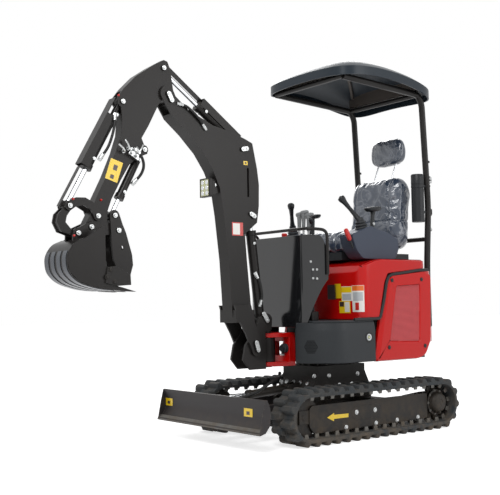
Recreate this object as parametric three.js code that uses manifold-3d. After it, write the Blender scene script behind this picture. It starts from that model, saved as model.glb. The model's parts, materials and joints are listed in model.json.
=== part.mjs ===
// Mini excavator with canopy, swing boom, thumb and dozer blade.
// Millimetres. X points forward, Y to the operator's left, Z up. Shapes are written in the
// slew frame: the origin is on the slew axis at ground level.
import * as THREE from 'three';
import { mergeVertices } from 'three/addons/utils/BufferGeometryUtils.js';
import Module from 'manifold-3d';

// ---- driving dimensions -------------------------------------------------------------------
const OVERALL_WIDTH = 930;
const TRACK_WIDTH = 180;
const WHEELBASE = 1036;
const TRACK_RADIUS = 148;
const LUG_HEIGHT = 22;
const BELT_THICKNESS = 18;
const LINKS = 39;
const BOTTOM_ROLLERS = [221, -10, -181, -357];
const ROLLER_RADIUS = 31.7;
const FRAME_RISE = 58;
const PEDESTAL_HALF_LENGTH = 188;
const PEDESTAL_HALF_WIDTH = 150;
const PEDESTAL_TOP = 385;
const BODY_HALF_WIDTH = 420;
const DECK_BOTTOM = 412;
const FLOOR_Z = 636;
const COWL_FRONT = 400;
const COWL_INNER = 205;
const PANEL_FRONT = -6;
const BODY_REAR = -497;
const PANEL_IN = 386;
const HOOD_TOP = 988;
const COUNTERWEIGHT_TOP = 590;
const SWING_X = 430;
const LUG_TOP = 580;
const CANOPY_RIM_FRONT = 2029;
const CANOPY_RIM_REAR = 1970;
const CANOPY_SKIRT = 72;
const CANOPY_ARCH = 46;
const CANOPY_CROWN = 20;
const CANOPY_RISE = 50;
const BOOM_HALF = 44;
const DIPPER_HALF = 30;
const BUCKET_HALF = 120;
const GAP = 0.3;

// pin centres in the side view, [x, z]
const FOOT = [562, 492];
const POST_PIN = [480, 651];
const BOOM_ROD = [549, 1231];
const ARM_BASE = [596, 1606];
const TIP = [1107, 1848];
const ARM_ROD = [1126, 1984];
const BUCKET_BASE = [1372, 1776];
const ROCKER_PIN = [1522, 1187];
const BUCKET_PIN = [1561, 1131];
const LINK_PIN = [1675, 1230];
const EAR_PIN = [1633, 1099];
const THUMB_PIN = [1408, 1120];
const THUMB_ROD = [1430, 1194];
const THUMB_BASE = [1247, 1542];
const BLADE_PIN = [250, 185];
const BLADE_BASE = [290, 262];
const BLADE_ROD = [748, 232];

// ---- solids -------------------------------------------------------------------------------
const wasm = await Module();
wasm.setup();

// closed solid from a three.js geometry
function solid(geometry) {
  const bare = geometry.index ? geometry.toNonIndexed() : geometry.clone();
  bare.deleteAttribute('normal');
  bare.deleteAttribute('uv');
  const joined = mergeVertices(bare, 1e-3);
  const mesh = new wasm.Mesh({
    numProp: 3,
    vertProperties: new Float32Array(joined.attributes.position.array),
    triVerts: new Uint32Array(joined.index.array),
  });
  return new wasm.Manifold(mesh);
}

function join(list) {
  return list.reduce((sum, item) => sum.add(item));
}

function block(x0, x1, y0, y1, z0, z1) {
  const geometry = new THREE.BoxGeometry(x1 - x0, y1 - y0, z1 - z0);
  geometry.translate((x0 + x1) / 2, (y0 + y1) / 2, (z0 + z1) / 2);
  return solid(geometry);
}

// round bar between two points
function bar(from, to, radius, segments = 16) {
  const a = new THREE.Vector3(...from);
  const b = new THREE.Vector3(...to);
  const along = b.clone().sub(a);
  const geometry = new THREE.CylinderGeometry(radius, radius, along.length(), segments);
  const turn = new THREE.Quaternion().setFromUnitVectors(
    new THREE.Vector3(0, 1, 0), along.clone().normalize());
  geometry.applyQuaternion(turn);
  geometry.translate(...a.add(b).multiplyScalar(0.5).toArray());
  return solid(geometry);
}

// round bar along Y at a side-view point
function pin(at, y0, y1, radius, segments = 16) {
  return bar([at[0], y0, at[1]], [at[0], y1, at[1]], radius, segments);
}

// running hole for such a bar: the flats of the hole clear the corners of the bar
function hole(at, y0, y1, radius, segments = 16) {
  return pin(at, y0, y1, (radius + GAP) / Math.cos(Math.PI / segments), segments);
}

function outline(points) {
  return new THREE.Shape(points.map((p) => new THREE.Vector2(p[0], p[1])));
}

// side-view outline, extruded across from y0 to y1
function slab(points, y0, y1) {
  const geometry = new THREE.ExtrudeGeometry(
    outline(points), { depth: y1 - y0, bevelEnabled: false, steps: 1 });
  geometry.rotateX(Math.PI / 2);
  geometry.translate(0, y1, 0);
  return solid(geometry);
}

// the same outline as a plate on the left and another on the right
function plates(points, inner, outer) {
  return slab(points, inner, outer).add(slab(points, -outer, -inner));
}

// plan-view outline, extruded upwards from z0 to z1
function plan(points, z0, z1) {
  const geometry = new THREE.ExtrudeGeometry(
    outline(points), { depth: z1 - z0, bevelEnabled: false, steps: 1 });
  geometry.translate(0, 0, z0);
  return solid(geometry);
}

// path that visits a list of points in even steps of its parameter
class PointPath extends THREE.Curve {
  constructor(points) {
    super();
    this.points = points;
  }

  getPoint(t, target = new THREE.Vector3()) {
    const s = Math.min(Math.max(t, 0), 1) * (this.points.length - 1);
    const i = Math.min(Math.floor(s), this.points.length - 2);
    return target.copy(this.points[i]).lerp(this.points[i + 1], s - i);
  }

  getPointAt(u, target) {
    return this.getPoint(u, target);
  }

  getTangentAt(u, target) {
    return this.getTangent(u, target);
  }
}

// bent tube through the given points with rounded corners
function pipe(points, radius, bend = 60, segments = 10) {
  const at = points.map((p) => new THREE.Vector3(...p));
  const list = [at[0]];
  for (let i = 1; i < at.length - 1; i += 1) {
    const before = at[i - 1].clone().sub(at[i]);
    const after = at[i + 1].clone().sub(at[i]);
    const cut = Math.min(bend, before.length() / 2.2, after.length() / 2.2);
    const a = at[i].clone().addScaledVector(before.normalize(), cut);
    const b = at[i].clone().addScaledVector(after.normalize(), cut);
    list.push(...new THREE.QuadraticBezierCurve3(a, at[i], b).getPoints(4));
  }
  list.push(at[at.length - 1]);
  const ring = [];
  for (let k = 0; k < segments; k += 1) {
    const t = (2 * Math.PI * k) / segments;
    ring.push([radius * Math.cos(t), radius * Math.sin(t)]);
  }
  const geometry = new THREE.ExtrudeGeometry(
    outline(ring), { steps: list.length - 1, extrudePath: new PointPath(list) });
  return solid(geometry);
}

// arc of side-view points round a centre, angles in degrees
function arc(centre, radius, from, to, steps = 8) {
  const list = [];
  for (let i = 0; i <= steps; i += 1) {
    const t = THREE.MathUtils.degToRad(from + ((to - from) * i) / steps);
    list.push([centre[0] + radius * Math.cos(t), centre[1] + radius * Math.sin(t)]);
  }
  return list;
}

// a closed outline's corners cut back to short curves
function soften(points, radius, steps = 3) {
  const out = [];
  const n = points.length;
  for (let i = 0; i < n; i += 1) {
    const p = new THREE.Vector2(...points[i]);
    const before = new THREE.Vector2(...points[(i + n - 1) % n]).sub(p);
    const after = new THREE.Vector2(...points[(i + 1) % n]).sub(p);
    const cut = Math.min(radius, before.length() / 2.1, after.length() / 2.1);
    const a = p.clone().addScaledVector(before.normalize(), cut);
    const b = p.clone().addScaledVector(after.normalize(), cut);
    const curve = new THREE.QuadraticBezierCurve(a, p, b);
    for (const q of curve.getPoints(steps)) out.push([q.x, q.y]);
  }
  return out;
}

// ---- scene graph --------------------------------------------------------------------------
const PAINT = {
  black: { color: 0x262626, roughness: 0.45, metalness: 0.3 },
  red: { color: 0xd91a14, roughness: 0.3, metalness: 0.1 },
  rubber: { color: 0x3b3d3f, roughness: 0.9, metalness: 0 },
  cowl: { color: 0x2b2e31, roughness: 0.6, metalness: 0 },
  roof: { color: 0x2f3a45, roughness: 0.5, metalness: 0 },
  console: { color: 0x4a5261, roughness: 0.6, metalness: 0 },
  vinyl: { color: 0x232529, roughness: 0.5, metalness: 0 },
  chrome: { color: 0xd8dadc, roughness: 0.12, metalness: 1 },
  steel: { color: 0x8f9296, roughness: 0.4, metalness: 0.8 },
  engine: { color: 0x5a5d60, roughness: 0.6, metalness: 0.4 },
};

const group = new THREE.Group();
group.name = 'mini_excavator';
const shifted = new THREE.Group();
group.add(shifted);

// a body that turns about, or slides from, a point in the slew frame
function pivot(name, parent, x, y, z) {
  const node = new THREE.Group();
  node.name = name;
  const home = parent.userData.home ?? new THREE.Vector3();
  node.userData.home = new THREE.Vector3(x, y, z);
  node.position.copy(node.userData.home).sub(home);
  parent.add(node);
  return node;
}

// one mesh, its solid written in the slew frame
function put(parent, name, shape, paint) {
  const home = parent.userData.home ?? new THREE.Vector3();
  const data = shape.getMesh();
  const geometry = new THREE.BufferGeometry();
  const count = data.vertProperties.length / data.numProp;
  const position = new Float32Array(count * 3);
  for (let i = 0; i < count; i += 1) {
    position[3 * i] = data.vertProperties[data.numProp * i] - home.x;
    position[3 * i + 1] = data.vertProperties[data.numProp * i + 1] - home.y;
    position[3 * i + 2] = data.vertProperties[data.numProp * i + 2] - home.z;
  }
  geometry.setAttribute('position', new THREE.BufferAttribute(position, 3));
  geometry.setIndex(new THREE.BufferAttribute(new Uint32Array(data.triVerts), 1));
  geometry.computeVertexNormals();
  const material = new THREE.MeshStandardMaterial({ ...PAINT[paint], flatShading: true });
  const mesh = new THREE.Mesh(geometry, material);
  mesh.name = name;
  parent.add(mesh);
  return mesh;
}

// ---- undercarriage ------------------------------------------------------------------------
const under = pivot('undercarriage', shifted, 0, 0, 0);
const HALF_BASE = WHEELBASE / 2;
const TRACK_OUT = OVERALL_WIDTH / 2;
const TRACK_IN = TRACK_OUT - TRACK_WIDTH;
const BELT_OUTER = TRACK_RADIUS - LUG_HEIGHT;
const BELT_INNER = BELT_OUTER - BELT_THICKNESS;
const WHEEL_Y0 = TRACK_OUT - 113;
const WHEEL_Y1 = TRACK_OUT - 73;
const REAR_HUB = [-HALF_BASE, TRACK_RADIUS];
const FRONT_HUB = [HALF_BASE, TRACK_RADIUS];
const WHEEL_RADIUS = BELT_INNER - 0.7;
// the bottom rollers rest on the belt's inner face
const ROLLER_Z = TRACK_RADIUS - BELT_INNER + ROLLER_RADIUS + GAP;
const BEAM_END = HALF_BASE - WHEEL_RADIUS - 10.7;

function stadium(radius) {
  return [
    ...arc(FRONT_HUB, radius, -90, 90, 18),
    ...arc(REAR_HUB, radius, 90, 270, 18),
  ];
}

// point and direction on the loop at a distance from its lower rear corner
function onLoop(distance, radius) {
  const half = Math.PI * BELT_OUTER;
  const total = 2 * WHEELBASE + 2 * half;
  let s = ((distance % total) + total) % total;
  if (s < WHEELBASE) return [-HALF_BASE + s, TRACK_RADIUS - radius, 0];
  s -= WHEELBASE;
  if (s < half) {
    const t = s / BELT_OUTER - Math.PI / 2;
    return [HALF_BASE + radius * Math.cos(t), TRACK_RADIUS + radius * Math.sin(t), t + Math.PI / 2];
  }
  s -= half;
  if (s < WHEELBASE) return [HALF_BASE - s, TRACK_RADIUS + radius, Math.PI];
  s -= WHEELBASE;
  const t = s / BELT_OUTER + Math.PI / 2;
  return [-HALF_BASE + radius * Math.cos(t), TRACK_RADIUS + radius * Math.sin(t), t + Math.PI / 2];
}

// one tread lug: a trapezium standing on the belt
function lug(distance, y0, y1) {
  const [x, z, turn] = onLoop(distance, BELT_OUTER);
  const local = [[-21, -4], [21, -4], [21, 0], [13, LUG_HEIGHT], [-13, LUG_HEIGHT], [-21, 0]];
  const points = local.map(([along, out]) => [
    x + along * Math.cos(turn) + out * Math.sin(turn),
    z + along * Math.sin(turn) - out * Math.cos(turn),
  ]);
  return slab(points.reverse(), y0, y1);
}

function trackLoop() {
  const belt = slab(stadium(BELT_OUTER), TRACK_IN, TRACK_OUT)
    .subtract(slab(stadium(BELT_INNER), TRACK_IN - 1, TRACK_OUT + 1));
  const pitch = (2 * WHEELBASE + 2 * Math.PI * BELT_OUTER) / LINKS;
  const middle = TRACK_OUT - TRACK_WIDTH / 2;
  const parts = [belt];
  for (let i = 0; i < LINKS; i += 1) {
    parts.push(lug(pitch * i, TRACK_IN, middle + 6));
    parts.push(lug(pitch * (i + 0.5), middle - 6, TRACK_OUT));
  }
  return join(parts);
}

function trackFrame() {
  const low = TRACK_RADIUS - 48;
  const high = TRACK_RADIUS + 52;
  const step = BEAM_END - 100;
  const box = block(-BEAM_END, BEAM_END, WHEEL_Y0, TRACK_OUT - 72, ROLLER_Z + 10, high);
  const top = TRACK_RADIUS + FRAME_RISE;
  const bottom = ROLLER_Z - 10;
  const cover = slab(soften([
    [-HALF_BASE + 77, bottom], [HALF_BASE - 66, bottom - 4], [HALF_BASE - 33, bottom + 34],
    [HALF_BASE - 33, top - 16], [HALF_BASE - 52, top], [-HALF_BASE + 77, top],
  ], 14), TRACK_OUT - 72, TRACK_OUT - 60);
  const rollers = BOTTOM_ROLLERS.map((x) =>
    pin([x, ROLLER_Z], TRACK_OUT - 115, TRACK_OUT - 74, ROLLER_RADIUS, 24));
  const inner = slab([[step, low], [HALF_BASE + 42, low + 6], [HALF_BASE + 42, high - 10],
    [step, high]], WHEEL_Y0 - 12, WHEEL_Y0 - 1);
  const innerLink = block(step, BEAM_END, WHEEL_Y0 - 12, WHEEL_Y0 + 2, low, high);
  const outer = block(BEAM_END, HALF_BASE + 34, WHEEL_Y1 + 1, TRACK_OUT - 65, low + 12, high - 16);
  const motor = slab([[-step, low - 10], [-step, high], [-HALF_BASE + 78, high + 10],
    [-HALF_BASE - 82, high + 10], [-HALF_BASE - 82, low - 8]], WHEEL_Y0 - 12, WHEEL_Y0 - 1);
  const motorLink = block(-BEAM_END, -step, WHEEL_Y0 - 12, WHEEL_Y0 + 2, low, high);
  let frame = join([box, cover, ...rollers, inner, innerLink, outer, motor, motorLink]);
  frame = frame.subtract(hole(FRONT_HUB, 200, 500, 16, 24));
  return frame.subtract(hole(REAR_HUB, 200, WHEEL_Y0, 60, 28));
}

function idler() {
  const wheel = pin(FRONT_HUB, WHEEL_Y0, WHEEL_Y1, WHEEL_RADIUS, 40);
  return wheel.add(pin(FRONT_HUB, WHEEL_Y0 - 14, TRACK_OUT - 64, 16, 24));
}

function sprocket() {
  const ring = pin(REAR_HUB, WHEEL_Y0, WHEEL_Y1, WHEEL_RADIUS, 40);
  const cover = pin(REAR_HUB, WHEEL_Y1 - 2, TRACK_OUT - 20, 54, 28);
  const motor = pin(REAR_HUB, TRACK_IN + 20, WHEEL_Y0 + 2, 60, 28);
  return join([ring, cover, motor]);
}

function bothSides(name, shape, paint, parent) {
  put(parent, `${name}_left`, shape, paint);
  put(parent, `${name}_right`, shape.mirror([0, 1, 0]), paint);
}

bothSides('track', trackLoop(), 'rubber', under);
bothSides('track_frame', trackFrame(), 'black', under);
bothSides('idler', idler(), 'black', under);
bothSides('sprocket', sprocket(), 'black', under);

function carBody() {
  const reach = WHEEL_Y0 - 0.3;
  const beams = join([
    block(90, 170, -reach, reach, 112, 196),
    block(-170, -90, -reach, reach, 112, 196),
  ]);
  const tower = slab([
    [-240, 118], [240, 118], [240, 240], [PEDESTAL_HALF_LENGTH, 340],
    [PEDESTAL_HALF_LENGTH, PEDESTAL_TOP], [-PEDESTAL_HALF_LENGTH, PEDESTAL_TOP],
    [-PEDESTAL_HALF_LENGTH, 346], [-240, 240],
  ], -PEDESTAL_HALF_WIDTH, PEDESTAL_HALF_WIDTH);
  const ears = slab([...arc(BLADE_PIN, 26, -90, 90), [200, 211], [200, 159]], 135, 149.5);
  const far = slab([...arc(BLADE_PIN, 26, -90, 90), [160, 211], [160, 159]], 174.5, 189);
  const foot = block(150, 205, 120, 189, 159, 196);
  const pivotPin = pin(BLADE_PIN, 135, 189, 14);
  const side = join([ears, far, foot, pivotPin]);
  const clevis = plates(
    [...arc(BLADE_BASE, 20, -60, 100), [200, 296], [200, 238]], 21, 33);
  const basePin = pin(BLADE_BASE, -33, 33, 12);
  return join([beams, tower, side, side.mirror([0, 1, 0]), clevis, basePin]);
}
put(under, 'car_body', carBody(), 'black');

// ---- dozer blade --------------------------------------------------------------------------
const blade = pivot('blade_body', under, BLADE_PIN[0], 0, BLADE_PIN[1]);

function bladeShape() {
  const face = slab([
    [829, 265], [817, 266], [799, 226], [795, 180], [805, 140], [830, 104], [867, 94],
    [869, 106], [842, 122], [820, 150], [811, 184], [815, 220],
  ], -TRACK_OUT, TRACK_OUT);
  const ends = plates([[829, 265], [817, 266], [797, 200], [800, 140], [830, 104], [867, 94],
    [866, 104], [846, 200]], TRACK_OUT - 6, TRACK_OUT);
  const arms = plates([...arc(BLADE_PIN, 24, 90, 270), [700, 128], [806, 128], [806, 196],
    [640, 196]], 150, 174);
  const cross = block(560, 600, -174, 174, 140, 190);
  const bracket = plates([[804, 258], [BLADE_ROD[0] - 6, 256], ...arc(BLADE_ROD, 22, 110, 250),
    [804, 150]], 21, 33);
  const stubs = pin(BLADE_ROD, 21, 37, 12).add(pin(BLADE_ROD, -37, -21, 12));
  const lower = block(590, 804, -33, 33, 140, 170);
  let shape = join([face, ends, arms, cross, bracket, stubs, lower]);
  return shape.subtract(hole(BLADE_PIN, 140, 180, 14)).subtract(hole(BLADE_PIN, -180, -140, 14));
}
put(blade, 'dozer_blade', bladeShape(), 'black');

// ---- hydraulic cylinders ------------------------------------------------------------------
// barrel: eye on its base pin, tube up to the gland; rod: from inside the gland to its own eye
function cylinderPair(names, parent, base, rodEye, size, extras = {}) {
  const dx = rodEye[0] - base[0];
  const dz = rodEye[1] - base[1];
  const length = Math.hypot(dx, dz);
  const ux = dx / length;
  const uz = dz / length;
  const at = (s, y = 0) => [base[0] + ux * s, y, base[1] + uz * s];
  const barrelBody = pivot(`${names}_barrel_body`, parent, base[0], 0, base[1]);
  const rodBody = pivot(`${names}_rod_body`, barrelBody, rodEye[0], 0, rodEye[1]);
  const bore = size.rod + 0.4;
  const inner = size.gland - size.depth + size.closing + 8;
  let barrel = join([
    pin(base, -size.eye, size.eye, size.pin + 11),
    bar(at(size.pin + 4), at(size.neck ?? 40), Math.min(size.eye, size.tube) - 2, 16),
    bar(at(size.neck ?? size.pin + 20), at(size.gland), size.tube, 20),
    bar(at(size.gland - 26), at(size.gland), size.tube + 4, 20),
  ]);
  if (extras.barrel) barrel = barrel.add(extras.barrel(at, length));
  barrel = barrel.subtract(bar(at(size.gland - size.depth), at(size.gland + 5), bore, 16));
  barrel = barrel.subtract(hole(base, -size.eye - 1, size.eye + 1, size.pin));
  let rod = join([
    bar(at(inner), at(length - size.pin), size.rod, 16),
    pin(rodEye, -size.rodEye, size.rodEye, size.pin + 9),
  ]);
  if (extras.rod) rod = rod.add(extras.rod(at, length));
  put(barrelBody, `${names}_cylinder_barrel`, barrel, 'black');
  put(rodBody, `${names}_cylinder_rod`, rod, 'chrome');
  return barrelBody;
}

// strip that lies beside a cylinder's axis on its outer side, in the side view
function beside(at, s0, s1, low, high, side) {
  const a = at(s0);
  const b = at(s1);
  const length = s1 - s0;
  const nx = (-(b[2] - a[2]) / length) * side;
  const nz = ((b[0] - a[0]) / length) * side;
  const points = [
    [a[0] + nx * low, a[2] + nz * low],
    [b[0] + nx * low, b[2] + nz * low],
    [b[0] + nx * high, b[2] + nz * high],
    [a[0] + nx * high, a[2] + nz * high],
  ];
  return side > 0 ? points : points.reverse();
}

cylinderPair('blade', under, BLADE_BASE, BLADE_ROD,
  { pin: 12, eye: 19, rodEye: 18, tube: 24, rod: 13, gland: 290, depth: 210, closing: 12 });

// ---- upper body ---------------------------------------------------------------------------
const upper = pivot('upper_body', shifted, 0, 0, 398);

// plan outline of the lower cowl's outer face, front half, moved in by a margin
function cowlEdge(inset) {
  const list = [];
  const rx = 200 - inset;
  const ry = 250 - inset;
  const first = Math.asin((COWL_INNER - (BODY_HALF_WIDTH - 250)) / ry);
  for (let i = 0; i <= 12; i += 1) {
    const t = first + (Math.PI / 2 - first) * (i / 12);
    list.push([COWL_FRONT - 200 + rx * Math.cos(t), BODY_HALF_WIDTH - 250 + ry * Math.sin(t)]);
  }
  return list;
}

function cowl() {
  const rear = PANEL_FRONT + 1;
  const outer = [...cowlEdge(0), [rear, BODY_HALF_WIDTH]];
  const inner = [...cowlEdge(9), [rear, BODY_HALF_WIDTH - 9]].reverse();
  return plan([...outer, ...inner], 415, FLOOR_Z);
}
bothSides('lower_cowl', cowl(), 'cowl', upper);

function mainFrame() {
  const half = [
    [300 - GAP, 0], [300 - GAP, COWL_INNER], ...cowlEdge(9 + GAP),
    [PANEL_FRONT + 1, BODY_HALF_WIDTH - 9.3],
    [PANEL_FRONT + 1, PANEL_IN - GAP], [-455 + GAP, PANEL_IN - GAP],
  ];
  const deck = plan([...half, ...half.slice(1).map(([x, y]) => [x, -y]).reverse()],
    DECK_BOTTOM + 3, 430);
  const ring = bar([0, 0, PEDESTAL_TOP + 0.5], [0, 0, 420], 142, 40);
  const bulkhead = block(-60, -48, -380, 380, 430, 634);
  const shelf = block(-455 + GAP, -60, -380, 380, 430, 452);
  return join([deck, ring, bulkhead, shelf]);
}
put(upper, 'main_frame', mainFrame(), 'black');

function swingBracket() {
  const round = arc([SWING_X, 0], 50, -70, 70, 12);
  const lugOutline = [[300, -92], [362, -92], ...round, [362, 92], [300, 92]];
  const web = block(300, 346, -92, 92, 393, LUG_TOP);
  const lugs = plan(lugOutline, LUG_TOP - 25, LUG_TOP).add(plan(lugOutline, 393, 418));
  const window = block(290, 350, -46, 46, 450, 530);
  const shape = join([web, lugs]).subtract(window);
  return shape.subtract(bar([SWING_X, 0, 380], [SWING_X, 0, 600], (25 + GAP) / Math.cos(Math.PI / 24), 24));
}
put(upper, 'swing_bracket', swingBracket(), 'red');

// the guard's sheet in plan, front face then inner face, left half
const GUARD_FACE = [[356, 0], [356, 215], [332, 256], [226, 296]];
const GUARD_BACK = [[223, 290.5], [328, 250.5], [350, 212], [350, 0]];
const GUARD_TOP = 1122;

function floorPlate() {
  const edge = cowlEdge(6);
  const half = [[COWL_FRONT - 60, 118], ...edge, [PANEL_FRONT + 8, BODY_HALF_WIDTH - 6]];
  const plate = plan([...half, ...half.map(([x, y]) => [x, -y]).reverse()],
    FLOOR_Z + GAP, FLOOR_Z + 10);
  const ahead = [[430, 0], [430, 305], [250, 305], [250, 291], ...GUARD_BACK.slice(1)
    .map(([x, y]) => [x - GAP, y - GAP])];
  const cut = plan(ahead, 600, 700);
  return plate.subtract(cut).subtract(cut.mirror([0, 1, 0]));
}
put(upper, 'floor_plate', floorPlate(), 'black');

// ---- engine housing -----------------------------------------------------------------------
function hood() {
  const low = FLOOR_Z + 10 + GAP;
  const core = slab([
    [75, low], [82, 912], [58, 950], [-20, 975], [-90, HOOD_TOP], [-440, HOOD_TOP],
    [-458, 968], [-458, 908], [-30, 908], [-30, low],
  ], -PANEL_IN + GAP, PANEL_IN - GAP);
  const wide = slab([
    [75, low], [82, 912], [58, 948], [-20, 972], [-90, HOOD_TOP - 5], [-440, HOOD_TOP - 5],
    [-456, 968], [-456, 938], [-437, 935], [-130, 905], [-103, 858], [-50, low],
  ], -BODY_HALF_WIDTH + 8, BODY_HALF_WIDTH - 8);
  const round = plan(soften([
    [82, -BODY_HALF_WIDTH + 8], [82, BODY_HALF_WIDTH - 8], [-470, BODY_HALF_WIDTH - 8],
    [-470, -BODY_HALF_WIDTH + 8],
  ], 70, 6), 600, 1000);
  const engineRoom = block(-445, -62, -PANEL_IN + 20, PANEL_IN - 20, 600, 900);
  return core.add(wide).intersect(round).subtract(engineRoom);
}
put(upper, 'engine_hood', hood(), 'red');

function sidePanel() {
  const face = [
    [PANEL_FRONT - 2, 410], [-60, 640], [-113, 850], [-138, 893], [-437, 923],
    [BODY_REAR + 4, 900], [BODY_REAR + 18, 515], [-432, 432], [-376, 410],
  ];
  return slab(soften(face, 24), PANEL_IN, BODY_HALF_WIDTH);
}
bothSides('side_panel', sidePanel(), 'red', upper);

function rearWeight() {
  const half = [
    [-455, 0], [-455, PANEL_IN - 1], [-505, PANEL_IN - 1], [-560, 350], [-600, 318],
    [-624, 300], [-630, 270], [-634, 200], [-636, 0],
  ];
  const all = [...half, ...half.slice(1, -1).map(([x, y]) => [x, -y]).reverse()];
  const upperPart = plan(all.reverse(), 500, COUNTERWEIGHT_TOP);
  return upperPart.add(block(-616, -455, -230, 230, 432, 520));
}
put(upper, 'counterweight', rearWeight(), 'red');

function rearDoor() {
  const half = [
    [-466, 0], [-466, PANEL_IN - 2], [-505, PANEL_IN - 2], [-545, 360], [-566, 320],
    [-573, 200], [-576, 0],
  ];
  const all = [...half, ...half.slice(1, -1).map(([x, y]) => [x, -y]).reverse()];
  return plan(all.reverse(), COUNTERWEIGHT_TOP + GAP, 925);
}
put(upper, 'rear_cover', rearDoor(), 'red');

put(upper, 'engine_block', block(-430, -120, -210, 210, 452.3, 860), 'engine');

// ---- guard, handrail and levers -----------------------------------------------------------
function frontGuard() {
  const half = plan([...GUARD_FACE, ...GUARD_BACK], FLOOR_Z - 26, GUARD_TOP);
  const trim = slab([[150, 600], [345, 600], [325, 690], [292, 765], [232, 868], [150, 880]],
    216, 400);
  const corner = slab([[150, 1010], [222, 1012], [262, GUARD_TOP + 2], [150, GUARD_TOP + 2]], 216, 400);
  const left = half.subtract(trim).subtract(corner);
  const foot = block(296, 353, -200, 200, FLOOR_Z + 10 + GAP, FLOOR_Z + 18);
  return join([left, left.mirror([0, 1, 0]), foot]);
}
put(upper, 'front_guard', frontGuard(), 'black');

function handrail() {
  const seat = 302.2;
  const top = GUARD_TOP + 34;
  return pipe([
    [236, seat, 900], [236, seat, top - 8], [344, 268, top], [344, -268, top],
    [236, -seat, top - 8], [236, -seat, 900],
  ], 9, 40, 8);
}
put(upper, 'handrail', handrail(), 'black');

function travelLevers() {
  const base = block(236, 292, -60, 226, FLOOR_Z + 10 + GAP, FLOOR_Z + 60);
  const list = [base];
  const LEVERS = [[90, 104, 1258], [124, 142, 1266], [160, 184, 1248], [196, 222, 1216]];
  for (const [foot, y, top] of LEVERS) {
    list.push(bar([266, foot, 690], [270, y, top - 60], 7, 8));
    list.push(bar([270, y, top - 64], [262, y, top], 13, 8));
  }
  return join(list);
}
put(upper, 'travel_levers', travelLevers(), 'black');

// ---- seat ---------------------------------------------------------------------------------
put(upper, 'seat_base', block(-556, 20, -190, 190, HOOD_TOP + GAP, 1035), 'black');

function cushion() {
  const side = [[60, 1035.3], [72, 1080], [50, 1140], [-60, 1150], [-330, 1122],
    [-418, 1118], [-420, 1035.3]];
  return slab(soften(side, 24), -225, 225);
}
put(upper, 'seat_cushion', cushion(), 'vinyl');

function headrestRod(y, radius) {
  return bar([-528, y, 1460], [-596, y, 1640], radius, 12);
}

function seatBack() {
  const side = [
    [-430, 1035.3], [-424, 1150], [-438, 1260], [-454, 1440], [-478, 1530], [-520, 1548],
    [-568, 1530], [-590, 1440], [-580, 1250], [-565, 1100], [-554, 1035.3],
  ];
  return slab(soften(side, 20), -215, 215)
    .subtract(headrestRod(75, 5 + GAP)).subtract(headrestRod(-75, 5 + GAP));
}
put(upper, 'seat_back', seatBack(), 'vinyl');

function headrest() {
  const side = [[-566, 1604], [-556, 1690], [-574, 1782], [-620, 1790], [-650, 1700],
    [-636, 1606]];
  const pad = slab(soften(side, 20), -125, 125);
  return join([pad, headrestRod(75, 5), headrestRod(-75, 5)]);
}
put(upper, 'headrest', headrest(), 'vinyl');

// ---- consoles -----------------------------------------------------------------------------
function consoleBox() {
  const side = [
    [89, 1127], [53, 1037], [4, HOOD_TOP + GAP], [-262, HOOD_TOP + GAP], [-294, 1046],
    [-296, 1105], [-204, 1148], [-138, 1158], [-65, 1181], [25, 1146],
  ];
  return slab(soften(side, 22), 240, 350);
}
bothSides('console', consoleBox(), 'console', upper);

function joystick() {
  const boot = bar([-44, 300, 1120], [-34, 300, 1212], 42, 16);
  const stick = bar([-40, 300, 1190], [45, 218, 1350], 14, 14);
  return join([boot, stick]).subtract(consoleBox().translate([0, 0, GAP]));
}
bothSides('joystick', joystick(), 'black', upper);

// ---- canopy -------------------------------------------------------------------------------
const CANOPY_FRONT = 139;
const CANOPY_REAR = -665;
const CANOPY_HALF = 372;
const CANOPY_WALL = 7;

function canopyFrame() {
  const run = (y) => pipe([
    [-606, y, COUNTERWEIGHT_TOP + GAP], [-603, y, 946], [-629, y, 1322], [-594, y, 1960],
    [-560, y, 2012], [80, y, 2040],
  ], 19, 90, 12);
  const bars = [
    bar([80, -294, 2040], [80, 294, 2040], 15, 12),
    bar([-560, -294, 2012], [-560, 294, 2012], 15, 12),
    bar([-616, -294, 1124], [-616, 294, 1124], 14, 12),
  ];
  return join([run(294), run(-294), ...bars]);
}
put(upper, 'canopy_frame', canopyFrame(), 'black');

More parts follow.
